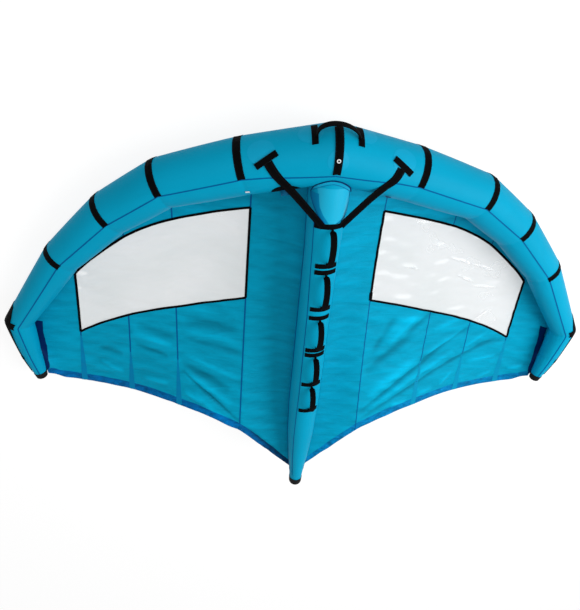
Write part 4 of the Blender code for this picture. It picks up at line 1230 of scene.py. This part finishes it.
def vStrap(side, letter):
    station = stationAt(vee["at"])
    landOff = vee["lift"] + vee["wall"] + vee["landClear"]
    count = vee["steps"]

    def teePoint(run, over, off):
        along = run * math.cos(vee["skew"]) - over * math.sin(vee["skew"])
        around = run * math.sin(vee["skew"]) + over * math.cos(vee["skew"])
        return tubeSkin(station + along / runs[0], vee["angle"] + around / wing["tubeRadius"],
                        off)

    start = teePoint(0.0, vee["barWidth"] / 2, vee["lift"])
    end = strutSkin(vBase["aft"] * wing["rootChord"] + vee["past"],
                    vee["land"] + side * handle["roll"], landOff)
    points = [start + (end - start) * n / count for n in range(count + 1)]
    pullTight(points, 40)
    reach = vee["driftAt"][side]
    for n in range(1, count):
        shift = vee["drift"][side] * float(bump((n / count - reach) / reach))
        points[n] = liftedOff(points[n] - np.array((shift, 0, 0)), vee["slack"])
    pullTight(points, 8)
    outs, acrosses = strapWays(points)
    points = np.array(points)
    at = np.linspace(0, 1, count + 1)

    def armSkin(u, v, off):
        point, out, across = [np.stack([np.interp(v, at, rows[:, k]) for k in range(3)], -1)
                              for rows in (points, outs, acrosses)]
        width = vee["width"] + (vee["narrow"] - vee["width"]) * v
        row = point + across * ((0.5 - u) * width)[:, None]
        height, radius = strutAt(np.maximum(-row[:, 1], strutRows[0, 0]))
        reach = radius + landOff
        near = np.abs(row[:, 0]) < reach
        least = height + np.sqrt(np.maximum(reach ** 2 - row[:, 0] ** 2, 0))
        row[:, 2] = np.where(near, np.maximum(row[:, 2], least), row[:, 2])
        return (row + out * off[:, None]) * (side, 1, 1)

    def teeSkin(u, v, off):
        return teePoint((u - 0.5) * vee["length"], (v - 0.5) * vee["barWidth"],
                        vee["lift"] + vee["barLift"] + off) * (side, 1, 1)

    makePiece("vStrap_" + letter, armSkin, (8, 90), vee["wall"], bandUv(0.45, vee["width"]),
              ["v_strap_" + letter], "webbing", webbing)
    makePiece("vStrapBar_" + letter, teeSkin, (20, 8), vee["wall"],
              lambda u, v: ((u - 0.5) * vee["length"], (v - 0.5) * vee["barWidth"]), [],
              "webbing", webbing)


for side, letter in sides:
    vStrap(side, letter)
print("v straps made")


# Bladders, inside the sleeves

bladder = {"inside": 0.0045, "tubeEnd": 6.7, "strutFrom": 0.165, "strutShort": 0.11,
           "leastEnd": 0.02, "tubeRounding": 0.02, "strutRounding": 0.04}


def roundedEnds(u, rounding):
    return np.clip((1 - np.abs(2 * u - 1)) / rounding, bladder["leastEnd"], 1) ** 0.5


def tubeInner(u, v, off):
    at = bladder["tubeEnd"] * (2 * u - 1)
    inner = tubeSkin(at, 2 * math.pi * v, off - bladder["inside"])
    centre = (tubeSkin(at, 0 * v, 0, False) + tubeSkin(at, 0 * v + math.pi, 0, False)) / 2
    return centre + (inner - centre) * roundedEnds(u, bladder["tubeRounding"])[:, None]


def strutInner(u, v, off):
    aft = span(bladder["strutFrom"], strutEnd - bladder["strutShort"])(u)
    radius = strutAt(aft)[1]
    reach = (radius - bladder["inside"] + off) * roundedEnds(u, bladder["strutRounding"])
    return strutSkin(aft, 2 * math.pi * v, reach - radius)


for name, skin, steps, uv, node in (
        ("leadingBladder", tubeInner, (200, 32), (4, 0.8), "le_bladder"),
        ("strutBladder", strutInner, (80, 32), (2, 0.5), "strut_bladder")):
    piece = skinPiece(name, skin, steps, 0, uv, closed=True)
    closeEnds(piece)
    finish(piece, "wing", [node], milkyFilm)


# Eyelet on the centre strap

ring = {"angle": math.radians(88), "off": 0.0038, "major": 0.0065, "minor": 0.0024}


def settled(name):
    piece = bpy.context.object
    piece.name = piece.data.name = name
    bpy.ops.object.transform_apply(location=True, rotation=True, scale=True)
    return piece


def eyelet():
    base = place(tubeSkin(0.0, ring["angle"], ring["off"], puffed=False))
    axis = turn((0, math.cos(ring["angle"]), math.sin(ring["angle"])))
    bpy.ops.object.select_all(action="DESELECT")
    bpy.ops.mesh.primitive_torus_add(major_segments=40, minor_segments=14,
                                     major_radius=ring["major"], minor_radius=ring["minor"],
                                     location=base,
                                     rotation=axis.to_track_quat("Z", "Y").to_euler())
    piece = settled("leashEyelet")
    bpy.ops.object.shade_smooth()
    finish(piece, "wing", ["leash_eyelet"], moulded["whiteMetal"])


eyelet()


# Inflation valve

valve = {"station": 0.55, "angle": math.radians(155), "probe": 0.01,
         "hole": 0.021, "patch": 0.065, "patchLift": 0.0011, "patchWall": 0.001,
         "flange": 0.03, "flangeLow": 0.0027, "flangeHigh": 0.0057, "flangeEdge": 0.0009,
         "capRadius": 0.027, "capLow": 0.0061, "capHeight": 0.019, "capEdge": 0.0012,
         "ribs": 30, "topFrom": 0.02, "topRim": 0.97, "topShrink": 0.04,
         "insets": ((0.002, 0.005), (0.004, 0.005), (0.006, 0.0035), (0.007, 0.0012))}


def valveParts():
    station, angle, near = -valve["station"], valve["angle"], valve["probe"]
    base = tubeSkin(station, angle, 0.0, False)
    around = tubeSkin(station, angle + near, 0, False) - tubeSkin(station, angle - near, 0, False)
    along = tubeSkin(station - near, angle, 0, False) - tubeSkin(station + near, angle, 0, False)
    axis = unit(np.cross(along, around))
    if axis @ (base - np.array((base[0], -0.02, -0.03))) < 0:
        axis = -axis
    across = unit(np.cross(axis, (0, 0, 1.0)))
    other = np.cross(axis, across)

    def patchSkin(u, v, off):
        reach = valve["hole"] + (valve["patch"] - valve["hole"]) * v
        a = 2 * math.pi * u
        flat = (base + across * (np.cos(a) * reach)[:, None]
                + other * (np.sin(a) * reach)[:, None])
        found = np.array([heightOverTube(p * (-1, 1, 1))[:2] for p in flat])
        return tubeSkin(-found[:, 0], found[:, 1], valve["patchLift"] + off)

    makePiece("valvePatch", patchSkin, (48, 10), valve["patchWall"], (0.3, 0.05),
              ["valve_patch"], "wear_patch", bandCloth, closed=True)

    origin = Vector(place(base))
    way = turn(axis)
    spin = way.to_track_quat("Z", "Y").to_euler()

    def roundPiece(name, radius, low, high, sides):
        bpy.ops.object.select_all(action="DESELECT")
        bpy.ops.mesh.primitive_cylinder_add(vertices=sides, radius=radius, depth=high - low,
                                            location=origin + way * (low + high) / 2,
                                            rotation=spin)
        return settled(name)

    def bevelled(piece, width):
        bevel = piece.modifiers.new("edge", "BEVEL")
        bevel.width, bevel.segments = width, 3
        applyAll(piece)
        bpy.ops.object.shade_smooth_by_angle(angle=math.radians(40))

    flange = roundPiece("valveBase", valve["flange"], valve["flangeLow"], valve["flangeHigh"], 64)
    bevelled(flange, valve["flangeEdge"])
    finish(flange, "wing", ["valve_base"], moulded["valvePlastic"])

    capPiece = roundPiece("valveCap", valve["capRadius"], valve["capLow"],
                          valve["capLow"] + valve["capHeight"], valve["ribs"] * 2)
    mesh = capPiece.data
    top = max(mesh.polygons, key=lambda face: face.normal.dot(way) * face.area)
    bpy.ops.object.mode_set(mode="EDIT")
    bpy.ops.mesh.select_all(action="DESELECT")
    bpy.ops.object.mode_set(mode="OBJECT")
    for face in mesh.polygons:
        face.select = face.index == top.index
    bpy.ops.object.mode_set(mode="EDIT")
    bpy.ops.mesh.select_mode(type="FACE")
    for inset, rise in valve["insets"]:
        bpy.ops.mesh.inset(thickness=inset)
        bpy.ops.transform.translate(value=way * rise)
    bpy.ops.object.mode_set(mode="OBJECT")
    for vertex in mesh.vertices:
        away = vertex.co - origin
        height = away.dot(way)
        flat = away - way * height
        if flat.length > valve["capRadius"] * valve["topRim"] and height > valve["topFrom"]:
            vertex.co -= flat * valve["topShrink"]
    bevelled(capPiece, valve["capEdge"])
    finish(capPiece, "valve_cap", ["valve_cap"], moulded["valvePlastic"])


valveParts()
print("valve made")


# Camera, from the photograph's viewing angle, in wing axes

view = {"spot": (-0.43706, 0.70589, 2.34144), "right": (0.99380667, 0.07473703, 0.08223551),
        "down": (0.01897568, -0.84330867, 0.53709442), "focal": 557.0, "width": 580.0,
        "sensor": 36.0, "far": 60.0}
cameraData = bpy.data.cameras.new("camera")
camera = bpy.data.objects.new("camera", cameraData)
scene.collection.objects.link(camera)
rightWay, upWay = turn(view["right"]), -turn(view["down"])
backWay = rightWay.cross(upWay)
turned = Matrix((rightWay, upWay, backWay)).transposed().to_4x4()
camera.matrix_world = Matrix.Translation(Vector(place(view["spot"]))) @ turned
cameraData.sensor_fit = "HORIZONTAL"
cameraData.sensor_width = view["sensor"]
cameraData.lens = view["focal"] / view["width"] * view["sensor"]
cameraData.clip_end = view["far"]
scene.camera = camera


# Floor, lamps and world: white where a ray sees them directly, with the shadow kept

studio = {
    "floorSize": 40.0, "floorColour": (0.6, 0.6, 0.6, 1), "glowShare": 0.6, "glow": 1.4,
    "floorHeight": -0.0005, "world": 0.42, "white": (1, 1, 1, 1), "aim": (0, 0, 0.2),
    "lamps": {"key": ((3.6, 0.9, 3.6), 3.2, 182.0), "top": ((-0.5, 2.8, 4.0), 3.0, 42.0)},
}


def seenDirectly(make):
    seen = make.add("LightPath", output="Is Camera Ray")
    for ray in ("Is Glossy Ray", "Is Transmission Ray"):
        seen = make.calc("MAXIMUM", seen, make.add("LightPath", output=ray))
    return seen


bpy.ops.object.select_all(action="DESELECT")
bpy.ops.mesh.primitive_plane_add(size=studio["floorSize"],
                                 location=(0, 0, studio["floorHeight"]))
floor = bpy.context.object
floor.name = "floor"
floorPaint, make = newMaterial("floorPaint")
make.setNode("Principled BSDF", Base_Color=studio["floorColour"], Roughness=0.9,
             Specular_IOR_Level=0.1)
paint = floorPaint.node_tree.nodes["Principled BSDF"].outputs[0]
glow = make.add("Emission", {"Color": studio["white"], "Strength": studio["glow"]})
share = make.calc("MULTIPLY", seenDirectly(make), studio["glowShare"])
make.setNode("Material Output", Surface=make.add("MixShader", {0: share, 1: paint, 2: glow}))
floor.data.materials.append(floorPaint)

for name, (spot, size, power) in studio["lamps"].items():
    data = bpy.data.lights.new(name, "AREA")
    data.size = size
    data.energy = power
    lamp = bpy.data.objects.new(name, data)
    scene.collection.objects.link(lamp)
    lamp.location = spot
    aim = Vector(studio["aim"]) - Vector(spot)
    lamp.rotation_euler = aim.to_track_quat("-Z", "Y").to_euler()

world = bpy.data.worlds.new("studio")
scene.world = world
world.use_nodes = True
make = nodesOf(world.node_tree)
strength = make.calc("MULTIPLY_ADD", seenDirectly(make), 1 - studio["world"], studio["world"])
make.setNode("Background", Color=studio["white"], Strength=strength)
scene.view_settings.view_transform = "Standard"
print("camera, floor and lamps made")
